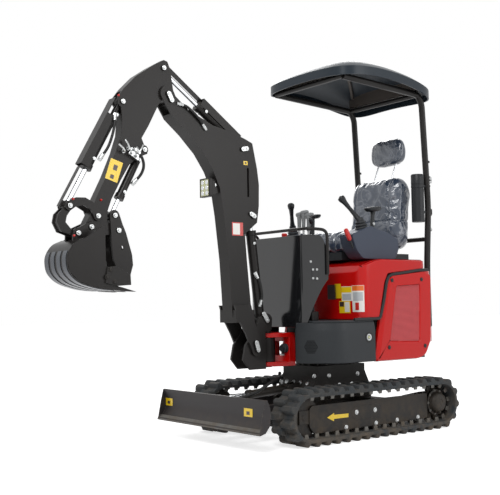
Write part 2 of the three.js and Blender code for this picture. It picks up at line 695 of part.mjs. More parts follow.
// a dome over a plan that is nearly a rectangle: its rim arches along and across, and the skirt
// turns down from the dome's edge
function canopyRoof() {
  const mid = (CANOPY_FRONT + CANOPY_REAR) / 2;
  const half = (CANOPY_FRONT - CANOPY_REAR) / 2;
  const columns = 32;
  const rim = (a, b) => (CANOPY_RIM_FRONT + CANOPY_RIM_REAR) / 2
    + ((CANOPY_RIM_FRONT - CANOPY_RIM_REAR) / 2) * a
    + CANOPY_ARCH * (1 - a * a) + CANOPY_CROWN * (1 - b * b);
  const ring = (inset, part, height) => {
    const list = [];
    for (let j = 0; j < columns; j += 1) {
      const t = (2 * Math.PI * j) / columns;
      const c = Math.cos(t);
      const s = Math.sin(t);
      const k = part / (Math.abs(c) ** 6 + Math.abs(s) ** 6) ** (1 / 6);
      list.push([mid + (half - inset) * k * c, (CANOPY_HALF - inset) * k * s,
        rim(k * c, k * s) + height]);
    }
    return list;
  };
  const build = (inset, drop, floor) => {
    const rings = [ring(inset, 1, floor)];
    for (let i = 8; i >= 1; i -= 1) {
      const r = i / 8;
      rings.push(ring(inset, r, CANOPY_SKIRT + CANOPY_RISE * (1 - r * r) - 22 * r ** 8 - drop));
    }
    const vertices = rings.flat();
    const faces = [];
    for (let i = 0; i < rings.length - 1; i += 1) {
      for (let j = 0; j < columns; j += 1) {
        const a = i * columns + j;
        const b = i * columns + ((j + 1) % columns);
        faces.push(a, b, b + columns, a, b + columns, a + columns);
      }
    }
    const last = (rings.length - 1) * columns;
    vertices.push([mid, 0, rim(0, 0) + floor]);
    vertices.push([mid, 0, rim(0, 0) + CANOPY_SKIRT + CANOPY_RISE - drop]);
    for (let j = 0; j < columns; j += 1) {
      const next = (j + 1) % columns;
      faces.push(next, j, vertices.length - 2, last + j, last + next, vertices.length - 1);
    }
    const geometry = new THREE.BufferGeometry();
    geometry.setAttribute('position', new THREE.BufferAttribute(new Float32Array(vertices.flat()), 3));
    geometry.setIndex(faces);
    return solid(geometry);
  };
  const ribs = block(48, 78, -285, 285, 2057, 2180).add(block(-575, -545, -285, 285, 2030, 2180))
    .intersect(build(CANOPY_WALL / 2, CANOPY_WALL / 2, 0));
  return build(0, 0, 0).subtract(build(CANOPY_WALL, CANOPY_WALL, -40)).add(ribs);
}
put(upper, 'canopy_roof', canopyRoof(), 'roof');

function documentTube() {
  const tube = bar([-550, 281, 1226], [-550, 281, 1520], 39, 24);
  const clip = block(-602.4, -570, 276, 302, 1442, 1456);
  return tube.add(clip);
}
put(upper, 'document_tube', documentTube(), 'black');

// ---- swing post ---------------------------------------------------------------------------
const swing = pivot('swing_post_body', upper, SWING_X, 0, 486);

function swingPost() {
  const side = [
    [492, 384], [602, 384], [650, 440], [632, 520], [560, 606], [532, 672],
    ...arc(POST_PIN, 40, 40, 170, 6), [446, 596], [492, 590],
  ];
  const walls = plates(side, 46, 60);
  const boss = bar([SWING_X, 0, 419], [SWING_X, 0, 554], 44, 28);
  const neck = block(440, 512, -40, 40, 426, 548);
  const back = block(490, 512, -60, 60, 384, 588);
  const shaft = bar([SWING_X, 0, 388], [SWING_X, 0, 590], 25, 24);
  const pins = pin(FOOT, -84, 84, 15).add(pin(POST_PIN, -66, 66, 15));
  return join([walls, boss, neck, back, shaft, pins]);
}
put(swing, 'swing_post', swingPost(), 'black');

// ---- boom ---------------------------------------------------------------------------------
const boom = pivot('boom_body', swing, FOOT[0], 0, FOOT[1]);

function boomShape() {
  const side = [
    ...arc(TIP, 46, 20, -60, 5), [1078, 1728], [984, 1653], [889, 1561], [824, 1469],
    [779, 1374], [754, 1228], [725, 984], [706, 680], [700, 642], [571, 642],
    [578, 738], [601, 986], [612, 1130],
    [525, 1196], [510, 1290], [507, 1409], [519, 1500], [550, 1640], [596, 1658],
    [700, 1690], [820, 1712], [983, 1780], [1060, 1840], ...arc(TIP, 46, 120, 40, 4),
  ].reverse();
  let body = slab(side, -BOOM_HALF, BOOM_HALF);
  const cheeks = plates([...arc(FOOT, 35, -180, 0, 8), [640, 584], [690, 668],
    [712, 738], [600, 738], [568, 620], [540, 560]], 62, 74);
  const bridge = block(578, 704, -74, 74, 644, 712);
  body = join([body, cheeks, bridge]);
  const tipSlot = pin(TIP, -33, 33, 104, 40);
  const rodSlot = block(470, 606, -22, 22, 1120, 1284)
    .add(block(470, 600, -36, 36, 1090, 1190));
  const armSlot = slab([[490, 1560], [560, 1556], [640, 1580], [900, 1764], [860, 1840],
    [520, 1720]], -36, 36);
  const slit = block(577, 591, -60, 60, 1337, 1499);
  body = body.subtract(tipSlot).subtract(rodSlot).subtract(armSlot).subtract(slit);
  body = body.subtract(hole(FOOT, -80, 80, 15));
  const stubs = join([
    pin(BOOM_ROD, 30, 52, 15), pin(BOOM_ROD, -52, -30, 15),
    pin(ARM_BASE, -52, 52, 15), pin(TIP, -52, 52, 16),
  ]);
  return body.add(stubs);
}
put(boom, 'boom', boomShape(), 'black');

function workLight() {
  const bracket = slab([[765, 1350], [830, 1338], [830, 1412], [765, 1442]], -30, 30);
  const head = block(820, 852, -42, 42, 1324, 1426);
  return bracket.add(head).subtract(boomShape().translate([GAP, 0, -GAP]));
}

cylinderPair('boom', swing, POST_PIN, BOOM_ROD,
  { pin: 15, eye: 42, rodEye: 20, tube: 27, rod: 14, gland: 505, depth: 440, closing: 18 });

// ---- dipper -------------------------------------------------------------------------------
const dipper = pivot('dipper_body', boom, TIP[0], 0, TIP[1]);

function dipperShape() {
  const side = [
    [1100, 2022], [1122, 2028], [1208, 1977], [1293, 1918], [1364, 1846], [1399, 1800],
    ...arc(BUCKET_BASE, 30, 20, -70, 4), [1376, 1690], [1384, 1604], [1416, 1510],
    [1470, 1386], [1526, 1276], [1560, 1190], ...arc(BUCKET_PIN, 28, 10, -90, 4),
    [1480, 1096], ...arc(THUMB_PIN, 24, -90, -220, 5), [1420, 1148], [1466, 1160],
    [1462, 1215], [1440, 1275], [1384, 1378], [1336, 1456], [1290, 1496], [1228, 1522],
    ...arc(THUMB_BASE, 24, 220, 90, 4), [1262, 1600], [1220, 1668], [1160, 1782],
    ...arc(TIP, 46, -50, -180, 6), [1070, 1900], [1082, 1980],
  ].reverse();
  let body = slab(side, -DIPPER_HALF, DIPPER_HALF);
  const rodSlot = block(1040, 1180, -22, 22, 1930, 2060)
    .add(slab([[1040, 1858], [1058, 1866], [1074, 1886], [1106, 1922], [1116, 1940], [1040, 1940]],
      -20, 20));
  const bucketSlot = block(1330, 1420, -20, 20, 1716, 1830);
  const thumbSlot = pin(THUMB_PIN, -18, 18, 104, 40);
  const barrelSlot = slab([[1215, 1610], [1215, 1490], [1300, 1420], [1350, 1440], [1312, 1530],
    [1290, 1610]], -24, 24);
  body = body.subtract(rodSlot).subtract(bucketSlot).subtract(thumbSlot).subtract(barrelSlot);
  body = body.subtract(hole(TIP, -60, 60, 16));
  const pins = join([
    pin(ARM_ROD, 22, 38, 15), pin(ARM_ROD, -38, -22, 15), pin(BUCKET_BASE, -36, 36, 14),
    pin(ROCKER_PIN, -46, 46, 12), pin(BUCKET_PIN, -50, 50, 14),
    pin(THUMB_PIN, 24, 48, 12), pin(THUMB_PIN, -48, -24, 12), pin(THUMB_BASE, -36, 36, 12),
  ]);
  return body.add(pins);
}
put(dipper, 'dipper', dipperShape(), 'black');

const guardOver = (s0, s1, side, lead = 0) => (at) => {
  const top = slab(beside(at, s0 - lead, s1, 42, 46, side), -33, 33);
  const cheeks = plates(beside(at, s0, s1, 0, 46, side), 29, 33);
  const straps = join([s0 + 8, s1 - 24].map((s) =>
    plates(beside(at, s, s + 16, -8, 8, side), 18, 31)));
  return join([top, cheeks, straps]);
};

cylinderPair('arm', boom, ARM_BASE, ARM_ROD,
  { pin: 15, eye: 30, rodEye: 20, tube: 26, rod: 14, gland: 367, depth: 320, closing: 78 }, {
    barrel: guardOver(60, 367, 1),
    rod: (at, length) => slab(beside(at, length - 290, length + 24, 33, 37, 1), -20, 20)
      .add(slab(beside(at, length - 16, length + 16, 10, 37, 1), -18, 18)),
  });

// ---- bucket -------------------------------------------------------------------------------
const bucket = pivot('bucket_body', dipper, BUCKET_PIN[0], 0, BUCKET_PIN[1]);

function bucketShape() {
  const shell = [
    [1556, 1066], [1640, 1071], [1690, 1046], [1722, 1002], [1729, 960], [1716, 908],
    [1668, 864], [1600, 840], [1535, 828], [1430, 820], [1430, 832],
    [1470, 846], [1516, 930], [1540, 1010],
  ].reverse();
  const hollow = [
    [1500, 1056], [1637, 1060], [1681, 1038], [1711, 998], [1718, 960], [1706, 914],
    [1662, 874], [1597, 851], [1534, 839], [1420, 836],
  ].reverse();
  const body = slab(shell, -BUCKET_HALF, BUCKET_HALF)
    .subtract(slab(hollow, -BUCKET_HALF + 8, BUCKET_HALF - 8));
  const teeth = [-95, 0, 95].map((y) =>
    slab([[1350, 814], [1440, 818], [1470, 836], [1440, 838]], y - 20, y + 20));
  const cutters = plates([[1520, 933], [1476, 939], [1392, 896], [1389, 847], [1465, 842],
    [1531, 856]].reverse(), BUCKET_HALF - 2, BUCKET_HALF + 9);
  const sides = plates([[1700, 1025], [1640, 1066], [1566, 1115], [1544, 1131], [1526, 1128],
    [1524, 982], [1519, 880], [1600, 900]].reverse(), BUCKET_HALF - 8, BUCKET_HALF);
  const ears = plates([...arc(BUCKET_PIN, 30, 100, 200, 5), [1545, 1060], [1660, 1056],
    ...arc(EAR_PIN, 26, 0, 90, 4)].reverse(), 33, 45);
  const stubs = pin(EAR_PIN, 36, 52, 13).add(pin(EAR_PIN, -52, -36, 13));
  const shape = join([body, sides, ...teeth, cutters, ears, stubs]);
  return shape.subtract(hole(BUCKET_PIN, -60, 60, 14));
}
put(bucket, 'bucket', bucketShape(), 'black');

const rocker = pivot('rocker_body', dipper, ROCKER_PIN[0], 0, ROCKER_PIN[1]);

function rockerShape() {
  const side = [
    ...arc(ROCKER_PIN, 24, 150, 320, 6), [1560, 1215], [1600, 1236], [1640, 1228],
    ...arc(LINK_PIN, 24, -100, 80, 6), [1640, 1272], [1590, 1274], [1540, 1250],
  ];
  const pair = plates(side, 32.5, 42);
  const stubs = pin(LINK_PIN, 17.5, 48, 12).add(pin(LINK_PIN, -48, -17.5, 12));
  const tie = pin([1596, 1256], -42, 42, 9, 14);
  return join([pair, stubs, tie]).subtract(hole(ROCKER_PIN, -60, 60, 12));
}
put(rocker, 'rocker_arm', rockerShape(), 'black');

const link = pivot('link_body', rocker, LINK_PIN[0], 0, LINK_PIN[1]);

function linkShape() {
  const side = [
    ...arc(LINK_PIN, 22, 100, -20, 4), [1728, 1190], [1736, 1150], [1712, 1104],
    [1684, 1096], ...arc(EAR_PIN, 20, -60, -230, 6), [1660, 1118], [1690, 1150],
    [1684, 1180], ...arc(LINK_PIN, 22, 230, 200, 2),
  ].reverse();
  const pair = plates(side, 18, 29.5);
  const tie = slab([[1712, 1190], [1720, 1152], [1700, 1112], [1706, 1108], [1729, 1150], [1720, 1190]]
    .reverse(), -18.5, 18.5);
  return pair.add(tie).subtract(hole(LINK_PIN, -60, 60, 12));
}
put(link, 'bucket_link', linkShape(), 'black');

cylinderPair('bucket', dipper, BUCKET_BASE, LINK_PIN,
  { pin: 14, eye: 18.5, rodEye: 15, tube: 25, rod: 13, gland: 403, depth: 300, neck: 90, closing: 103 }, {
    barrel: guardOver(98, 403, 1, 92),
    rod: (at, length) => slab(beside(at, length - 210, length + 20, 33, 37, 1), -15, 15)
      .add(slab(beside(at, length - 14, length + 14, 8, 37, 1), -14, 14)),
  });

// ---- thumb --------------------------------------------------------------------------------
const thumb = pivot('thumb_body', dipper, THUMB_PIN[0], 0, THUMB_PIN[1]);

function thumbShape() {
  const side = [
    ...arc(THUMB_ROD, 28, 20, 160, 5), [1384, 1150], [1365, 1109], [1331, 999], [1326, 949],
    [1349, 874], [1350, 852], [1384, 866], [1412, 898], [1440, 980], [1448, 1060],
  ];
  let pair = plates(side, 33, 43);
  const ties = join([
    pin([1362, 890], -43, 43, 14, 16), pin([1372, 1020], -43, 43, 12, 16),
  ]);
  const stubs = pin(THUMB_ROD, 36, 50, 12).add(pin(THUMB_ROD, -50, -36, 12));
  const toe = slab([[1340, 905], [1348, 856], [1384, 868], [1380, 915]], -43, 43);
  pair = join([pair, ties, stubs, toe]);
  pair = pair.subtract(pin([1388, 1035], 20, 60, 10, 16));
  return pair.subtract(hole(THUMB_PIN, -60, 60, 12));
}
put(thumb, 'thumb', thumbShape(), 'black');

cylinderPair('thumb', dipper, THUMB_BASE, THUMB_ROD,
  { pin: 12, eye: 20, rodEye: 15, tube: 21, rod: 11, gland: 292, depth: 240, closing: 3 });

put(boom, 'work_light', workLight(), 'black');

// ---- the frame's origin: middle of the footprint, on the ground ---------------------------
group.updateMatrixWorld(true);
const bounds = new THREE.Box3().setFromObject(group);
shifted.position.set(
  -(bounds.min.x + bounds.max.x) / 2, -(bounds.min.y + bounds.max.y) / 2, -bounds.min.z);
group.updateMatrixWorld(true);

export default group;
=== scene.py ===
"""Looks for a one-tonne class mini excavator: paint, rubber, seat, hoses, decals and hardware.

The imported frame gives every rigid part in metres, +X forwards, +Y to the operator's left, +Z up.
Places are written in millimetres from the slew axis at ground level, and at() moves them
into that frame.
"""
import json
import math

import bmesh
import bpy
import numpy as np
from mathutils import Matrix, Vector

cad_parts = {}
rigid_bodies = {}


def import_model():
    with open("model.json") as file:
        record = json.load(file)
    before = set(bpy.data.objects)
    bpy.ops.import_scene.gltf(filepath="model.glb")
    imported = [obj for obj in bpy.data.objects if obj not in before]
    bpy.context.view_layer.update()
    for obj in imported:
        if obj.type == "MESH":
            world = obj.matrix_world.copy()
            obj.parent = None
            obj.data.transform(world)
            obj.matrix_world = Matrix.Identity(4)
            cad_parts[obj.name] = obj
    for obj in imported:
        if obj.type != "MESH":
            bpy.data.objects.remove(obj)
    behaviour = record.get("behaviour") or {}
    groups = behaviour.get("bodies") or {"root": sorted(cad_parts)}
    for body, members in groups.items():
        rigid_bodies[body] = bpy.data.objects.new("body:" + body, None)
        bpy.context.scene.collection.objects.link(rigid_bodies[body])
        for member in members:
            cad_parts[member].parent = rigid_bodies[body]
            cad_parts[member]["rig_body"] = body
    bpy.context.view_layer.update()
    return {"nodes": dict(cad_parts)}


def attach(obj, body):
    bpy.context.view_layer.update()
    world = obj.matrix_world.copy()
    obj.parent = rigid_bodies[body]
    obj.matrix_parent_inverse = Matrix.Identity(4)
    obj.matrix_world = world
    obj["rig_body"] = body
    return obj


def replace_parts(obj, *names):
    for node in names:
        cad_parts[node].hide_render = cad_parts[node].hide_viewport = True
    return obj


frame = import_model()
scene = bpy.context.scene
SLEW_X = -0.534741  # where the slew axis stands in the frame, in metres
rng = np.random.default_rng(7)


def at(x, y, z):
    """Points from millimetres measured from the slew axis at ground level, values or arrays."""
    x, y, z = (np.asarray(v, float) / 1000 for v in (x, y, z))
    return np.stack(np.broadcast_arrays(x + SLEW_X, y, z), -1)


def points(*list_of_xyz):
    """Several places in millimetres as one array of points."""
    return np.array([at(*p) for p in list_of_xyz])


# ---- camera and studio ---------------------------------------------------------------------
CAMERA_AT = (3.143891, 3.961480, 0.748629)  # metres
CAMERA_TURN = (4.042875, 0.061439, -0.016096)  # yaw, pitch and roll in radians
CAMERA_LENS, CAMERA_SENSOR = 65.114, 36  # millimetres


def make_camera():
    """The camera looks along yaw and pitch, then rolls about its own axis."""
    yaw, pitch, roll = CAMERA_TURN
    look = Vector((math.cos(pitch) * math.cos(yaw), math.cos(pitch) * math.sin(yaw), math.sin(pitch)))
    flat = look.cross(Vector((0, 0, 1))).normalized()
    over = flat.cross(look)
    right = flat * math.cos(roll) + over * math.sin(roll)
    up = over * math.cos(roll) - flat * math.sin(roll)
    data = bpy.data.cameras.new("studio_camera")
    data.sensor_width = CAMERA_SENSOR
    data.lens = CAMERA_LENS
    data.clip_end = 100
    camera = bpy.data.objects.new("studio_camera", data)
    scene.collection.objects.link(camera)
    turn = Matrix((right, up, -look)).transposed().to_4x4()
    camera.matrix_world = Matrix.Translation(CAMERA_AT) @ turn
    scene.camera = camera


make_camera()
scene.view_settings.view_transform = "Standard"


def node(tree, kind, inputs=None, **settings):
    """A shader node with its settings and its inputs, each a value or another node's socket."""
    made = tree.nodes.new(kind)
    for key, value in settings.items():
        setattr(made, key, value)
    for key, value in (inputs or {}).items():
        if isinstance(value, bpy.types.NodeSocket):
            tree.links.new(value, made.inputs[key])
        else:
            made.inputs[key].default_value = value
    return made


def shown_rays(tree):
    """1 for rays from the camera, a mirror or a glass, 0 for light that falls on the object."""
    path = node(tree, "ShaderNodeLightPath")
    first = node(tree, "ShaderNodeMath",
                 {0: path.outputs["Is Camera Ray"], 1: path.outputs["Is Glossy Ray"]},
                 operation="MAXIMUM")
    return node(tree, "ShaderNodeMath", {0: first.outputs[0], 1: path.outputs["Is Transmission Ray"]},
                operation="MAXIMUM").outputs[0]


SKY_LIGHT, FLOOR_WHITE = 0.46, 0.68  # strength of the sky on the object, and of the floor where it is seen
FLOOR_HALF, FLOOR_DROP = 30, 0.0006  # metres


def make_world():
    """White where it is seen, softer where it lights the object."""
    world = bpy.data.worlds.new("studio_world")
    world.use_nodes = True
    scene.world = world
    tree = world.node_tree
    strength = node(tree, "ShaderNodeMapRange", {"Value": shown_rays(tree), "To Min": SKY_LIGHT,
                                                 "To Max": 1.0})
    back = tree.nodes["Background"]
    back.inputs["Color"].default_value = (1, 1, 1, 1)
    tree.links.new(strength.outputs["Result"], back.inputs["Strength"])


def make_floor():
    """A pale plane that keeps the object's shadow and fades to the white background."""
    mesh = bpy.data.meshes.new("studio_floor")
    corners = [(x * FLOOR_HALF, y * FLOOR_HALF, -FLOOR_DROP) for x,
               y in ((-1, -1), (1, -1), (1, 1), (-1, 1))]
    mesh.from_pydata(corners, [], [(0, 1, 2, 3)])
    floor = bpy.data.objects.new("studio_floor", mesh)
    scene.collection.objects.link(floor)
    material = bpy.data.materials.new("studio_floor")
    material.use_nodes = True
    tree = material.node_tree
    shader = tree.nodes["Principled BSDF"]
    shader.inputs["Base Color"].default_value = (0.75, 0.75, 0.75, 1)
    shader.inputs["Roughness"].default_value = 0.9
    shader.inputs["Specular IOR Level"].default_value = 0.1
    glow = node(tree, "ShaderNodeEmission", {"Color": (1, 1, 1, 1)})
    seen = node(tree, "ShaderNodeMath", {0: shown_rays(tree), 1: FLOOR_WHITE}, operation="MULTIPLY")
    tree.links.new(seen.outputs[0], glow.inputs["Strength"])
    both = node(tree, "ShaderNodeAddShader", {0: shader.outputs[0], 1: glow.outputs[0]})
    tree.links.new(both.outputs[0], tree.nodes["Material Output"].inputs["Surface"])
    mesh.materials.append(material)


def make_lamp(name, at, towards, size, power):
    """A round area lamp at a place, aimed at another; size in metres, power in watts."""
    data = bpy.data.lights.new(name, "AREA")
    data.shape = "DISK"
    data.size = size
    data.energy = power
    lamp = bpy.data.objects.new(name, data)
    scene.collection.objects.link(lamp)
    look = (Vector(towards) - Vector(at)).to_track_quat("-Z", "Y")
    lamp.matrix_world = Matrix.Translation(at) @ look.to_matrix().to_4x4()


make_world()
make_floor()
make_lamp("key_lamp", (3.6, 3.0, 5.2), (0.0, 0.1, 0.9), 2.6, 190)
make_lamp("fill_lamp", (-2.6, 5.0, 2.6), (-0.2, 0.2, 0.8), 3.0, 60)
make_lamp("rim_lamp", (-3.5, -4.0, 4.2), (0.0, 0.0, 1.2), 3.0, 90)


# ---- shared effects, each a node group ------------------------------------------------------
def effect(name, inputs, outputs):
    """An empty node group: returns its tree, its inputs' sockets and a call that wires an output."""
    tree = bpy.data.node_groups.new(name, "ShaderNodeTree")
    for label, kind, value in inputs:
        socket = tree.interface.new_socket(label, in_out="INPUT", socket_type="NodeSocket" + kind)
        socket.default_value = value
    for label, kind in outputs:
        tree.interface.new_socket(label, in_out="OUTPUT", socket_type="NodeSocket" + kind)
    entry = tree.nodes.new("NodeGroupInput")
    leave = tree.nodes.new("NodeGroupOutput")
    return tree, entry.outputs, lambda label, socket: tree.links.new(socket, leave.inputs[label])


def make_mottle():
    """Slow change of shade over a panel: two octaves of noise about 1."""
    tree, given, out = effect("mottle", [("Scale", "Float", 6.0), ("Amount", "Float", 0.1)],
                              [("Factor", "Float")])
    place = node(tree, "ShaderNodeTexCoord").outputs["Object"]
    noise = node(tree, "ShaderNodeTexNoise", {"Vector": place, "Scale": given["Scale"], "Detail": 3.0})
    swing = node(tree, "ShaderNodeMath", {0: noise.outputs[0], 1: 0.5}, operation="SUBTRACT")
    sized = node(tree, "ShaderNodeMath", {0: swing.outputs[0], 1: given["Amount"]}, operation="MULTIPLY")
    out("Factor", node(tree, "ShaderNodeMath", {0: sized.outputs[0], 1: 1.0}, operation="ADD").outputs[0])
    return tree


def make_edge_wear():
    """Where the rounded normal leaves the true one there is an edge; noise breaks the mark up."""
    tree, given, out = effect("edge_wear", [("Width", "Float", 0.002), ("Scale", "Float", 60.0),
                                            ("Amount", "Float", 0.5)], [("Mask", "Float")])
    place = node(tree, "ShaderNodeTexCoord").outputs["Object"]
    soft = node(tree, "ShaderNodeBevel", {"Radius": given["Width"]}, samples=3)
    true = node(tree, "ShaderNodeNewGeometry").outputs["Normal"]
    dot = node(tree, "ShaderNodeVectorMath", {0: soft.outputs[0], 1: true}, operation="DOT_PRODUCT")
    edge = node(tree, "ShaderNodeMapRange", {"Value": dot.outputs["Value"], "From Min": 0.99,
                                             "From Max": 0.86})
    noise = node(tree, "ShaderNodeTexNoise", {"Vector": place, "Scale": given["Scale"], "Detail": 4.0})
    spots = node(tree, "ShaderNodeMapRange", {"Value": noise.outputs[0], "From Min": 0.48,
                                              "From Max": 0.62})
    both = node(tree, "ShaderNodeMath", {0: edge.outputs[0], 1: spots.outputs[0]}, operation="MULTIPLY")
    out("Mask", node(tree, "ShaderNodeMath", {0: both.outputs[0], 1: given["Amount"]},
                     operation="MULTIPLY").outputs[0])
    return tree


def make_dust():
    """Dust lies on what faces up and gathers towards the ground, broken up by noise."""
    tree, given, out = effect("dust", [("Top", "Float", 0.25), ("Low", "Float", 0.5),
                                       ("Height", "Float", 0.3)],
                              [("Mask", "Float")])
    place = node(tree, "ShaderNodeTexCoord").outputs["Object"]
    normal = node(tree, "ShaderNodeSeparateXYZ", {0: node(tree, "ShaderNodeNewGeometry").outputs["Normal"]})
    level = node(tree, "ShaderNodeSeparateXYZ", {0: place})
    noise = node(tree, "ShaderNodeTexNoise", {"Vector": place, "Scale": 14.0, "Detail": 6.0,
                                              "Roughness": 0.65})
    patch = node(tree, "ShaderNodeMapRange", {"Value": noise.outputs[0], "From Min": 0.38,
                                              "From Max": 0.66})
    up = node(tree, "ShaderNodeMapRange", {"Value": normal.outputs[2], "From Min": 0.5, "From Max": 0.95,
                                           "To Max": given["Top"]})
    near = node(tree, "ShaderNodeMapRange", {"Value": level.outputs[2], "From Min": given["Height"],
                                             "From Max": 0.0, "To Max": given["Low"]})
    most = node(tree, "ShaderNodeMath", {0: up.outputs[0], 1: near.outputs[0]}, operation="MAXIMUM")
    out("Mask", node(tree, "ShaderNodeMath", {0: most.outputs[0], 1: patch.outputs[0]},
                     operation="MULTIPLY").outputs[0])
    return tree


def make_grain():
    """Fine surface height: small noise with a broader ripple under it."""
    tree, given, out = effect("grain", [("Scale", "Float", 400.0), ("Ripple", "Float", 0.3)],
                              [("Height", "Float")])
    place = node(tree, "ShaderNodeTexCoord").outputs["Object"]
    fine = node(tree, "ShaderNodeTexNoise", {"Vector": place, "Scale": given["Scale"], "Detail": 3.0})
    broad = node(tree, "ShaderNodeTexNoise", {"Vector": place, "Scale": 9.0, "Detail": 2.0})
    part = node(tree, "ShaderNodeMath", {0: broad.outputs[0], 1: given["Ripple"]}, operation="MULTIPLY")
    out("Height", node(tree, "ShaderNodeMath", {0: fine.outputs[0], 1: part.outputs[0]},
                       operation="ADD").outputs[0])
    return tree


def make_creases():
    """Creased thin film: ridges where two warped noises cross their middle value; the sharpened ridge mask
    places a painted highlight along the folds.
    """
    tree, given, out = effect("film_creases", [("Scale", "Float", 11.0)],
                              [("Height", "Float"), ("RidgeHighlight", "Float")])
    place = node(tree, "ShaderNodeTexCoord").outputs["Object"]
    ridges = []
    for factor, seed in ((1.0, 0.0), (2.3, 4.7)):
        scale = node(tree, "ShaderNodeMath", {0: given["Scale"], 1: factor}, operation="MULTIPLY")
        moved = node(tree, "ShaderNodeVectorMath", {0: place, 1: (seed, seed * 0.6, -seed)})
        noise = node(tree, "ShaderNodeTexNoise", {"Vector": moved.outputs[0], "Scale": scale.outputs[0],
                                                  "Detail": 2.0, "Distortion": 1.6})
        away = node(tree, "ShaderNodeMath", {0: noise.outputs[0], 1: 0.5}, operation="SUBTRACT")
        size = node(tree, "ShaderNodeMath", {0: away.outputs[0]}, operation="ABSOLUTE")
        ridges.append(node(tree, "ShaderNodeMapRange", {"Value": size.outputs[0], "From Min": 0.0,
                                                        "From Max": 0.09, "To Min": 1.0, "To Max": 0.0}))
    total = node(tree, "ShaderNodeMath", {0: ridges[0].outputs[0], 1: ridges[1].outputs[0]},
                 operation="ADD")
    sharp = node(tree, "ShaderNodeMath", {0: ridges[0].outputs[0], 1: ridges[1].outputs[0]},
                 operation="MAXIMUM")
    out("Height", total.outputs[0])
    out("RidgeHighlight", node(tree, "ShaderNodeMath", {0: sharp.outputs[0], 1: 3.0}, operation="POWER").outputs[0])
    return tree


MOTTLE, EDGE_WEAR, DUST = make_mottle(), make_edge_wear(), make_dust()
GRAIN, CREASES = make_grain(), make_creases()


# ---- materials ------------------------------------------------------------------------------
def linear(code):
    """A written colour such as e01b14 as linear red, green and blue."""
    values = np.array([int(code[i:i + 2], 16) for i in (0, 2, 4)]) / 255
    return tuple(np.where(values < 0.04045, values / 12.92, ((values + 0.055) / 1.055) ** 2.4)) + (1.0,)


def use(tree, group, **values):
    """A group placed in a material, its inputs set by name."""
    made = tree.nodes.new("ShaderNodeGroup")
    made.node_tree = group
    for key, value in values.items():
        made.inputs[key].default_value = value
    return made.outputs


def finish(name, colour, rough=0.4, metal=0.0, specular=0.5, coat=0.0, mottle=(6.0, 0.12),
           grain=(400.0, 0.3, 0.05), wear=None, dust=None, sheen=0.0, creases=None):
    """One finish: a mottled colour, then wear along edges, then dust, with grain as bump.

    wear is (width, amount, colour, metallic); dust is (top, low, height, colour);
    grain is (scale, ripple, strength); creases is (scale, strength, strength of the painted highlight along
    the crease ridges)."""
    material = bpy.data.materials.new(name)
    material.use_nodes = True
    tree = material.node_tree
    shader = tree.nodes["Principled BSDF"]
    shader.inputs["Specular IOR Level"].default_value = specular
    shader.inputs["Coat Weight"].default_value = coat
    shader.inputs["Coat Roughness"].default_value = 0.12
    shader.inputs["Sheen Weight"].default_value = sheen
    shade = use(tree, MOTTLE, Scale=mottle[0], Amount=mottle[1])["Factor"]
    base = node(tree, "ShaderNodeVectorMath", {0: linear(colour)[:3], "Scale": shade},
                operation="SCALE").outputs[0]
    roughness = node(tree, "ShaderNodeMath", {0: shade, 1: rough}, operation="MULTIPLY").outputs[0]
    metallic = None
    if wear:
        mask = use(tree, EDGE_WEAR, Width=wear[0], Amount=wear[1])["Mask"]
        base = node(tree, "ShaderNodeMix", {0: mask, 6: base, 7: linear(wear[2])},
                    data_type="RGBA").outputs[2]
        metallic = node(tree, "ShaderNodeMapRange",
                        {"Value": mask, "To Min": metal, "To Max": wear[3]}).outputs[0]
    if dust:
        mask = use(tree, DUST, Top=dust[0], Low=dust[1], Height=dust[2])["Mask"]
        base = node(tree, "ShaderNodeMix", {0: mask, 6: base, 7: linear(dust[3])},
                    data_type="RGBA").outputs[2]
        roughness = node(tree, "ShaderNodeMix", {0: mask, 2: roughness, 3: 0.95},
                         data_type="FLOAT").outputs[0]
    height = use(tree, GRAIN, Scale=grain[0], Ripple=grain[1])["Height"]
    bump = node(tree, "ShaderNodeBump", {"Height": height, "Strength": grain[2], "Distance": 0.002})
    if creases:
        folds = use(tree, CREASES, Scale=creases[0])
        bump = node(tree, "ShaderNodeBump", {"Height": folds["Height"], "Strength": creases[1],
                                             "Distance": 0.006, "Normal": bump.outputs[0]})
        # Painted highlight: the crease ridges are mixed towards a pale blue-white, standing in for light
        # caught on the film's folds.
        part = node(tree, "ShaderNodeMath", {0: folds["RidgeHighlight"], 1: creases[2]}, operation="MULTIPLY")
        base = node(tree, "ShaderNodeMix", {0: part.outputs[0], 6: base, 7: (0.8, 0.82, 0.86, 1)},
                    data_type="RGBA").outputs[2]
    tree.links.new(base, shader.inputs["Base Color"])
    tree.links.new(roughness, shader.inputs["Roughness"])
    tree.links.new(bump.outputs[0], shader.inputs["Normal"])
    if metallic:
        tree.links.new(metallic, shader.inputs["Metallic"])
    else:
        shader.inputs["Metallic"].default_value = metal
    return material


GROUND = "6b5d4c"
BLACK_PAINT = finish("black_paint", "242221", 0.32, specular=0.2, wear=(0.0018, 0.35, "5e5a56", 0.5),
                     grain=(900, 0.8, 0.03))
CHASSIS_PAINT = finish("chassis_paint", "272523", 0.42, specular=0.22, wear=(0.002, 0.5, "6d6760", 0.5),
                       dust=(0.35, 0.45, 0.32, GROUND), grain=(700, 0.5, 0.06))
BLADE_PAINT = finish("blade_paint", "312e2f", 0.4, specular=0.25, wear=(0.003, 0.6, "77706a", 0.6),
                     dust=(0.3, 0.5, 0.2, GROUND), grain=(500, 0.6, 0.07), mottle=(9, 0.22))
GUARD_PAINT = finish("guard_paint", "17181a", 0.1, specular=0.45, coat=0.5, grain=(300, 1.2, 0.03))
RED_PAINT = finish("red_paint", "c40b08", 0.24, specular=0.25, coat=0.18,
                   wear=(0.0016, 0.22, "8f1a15", 0.1),
                   grain=(700, 1.0, 0.03), mottle=(3, 0.1))
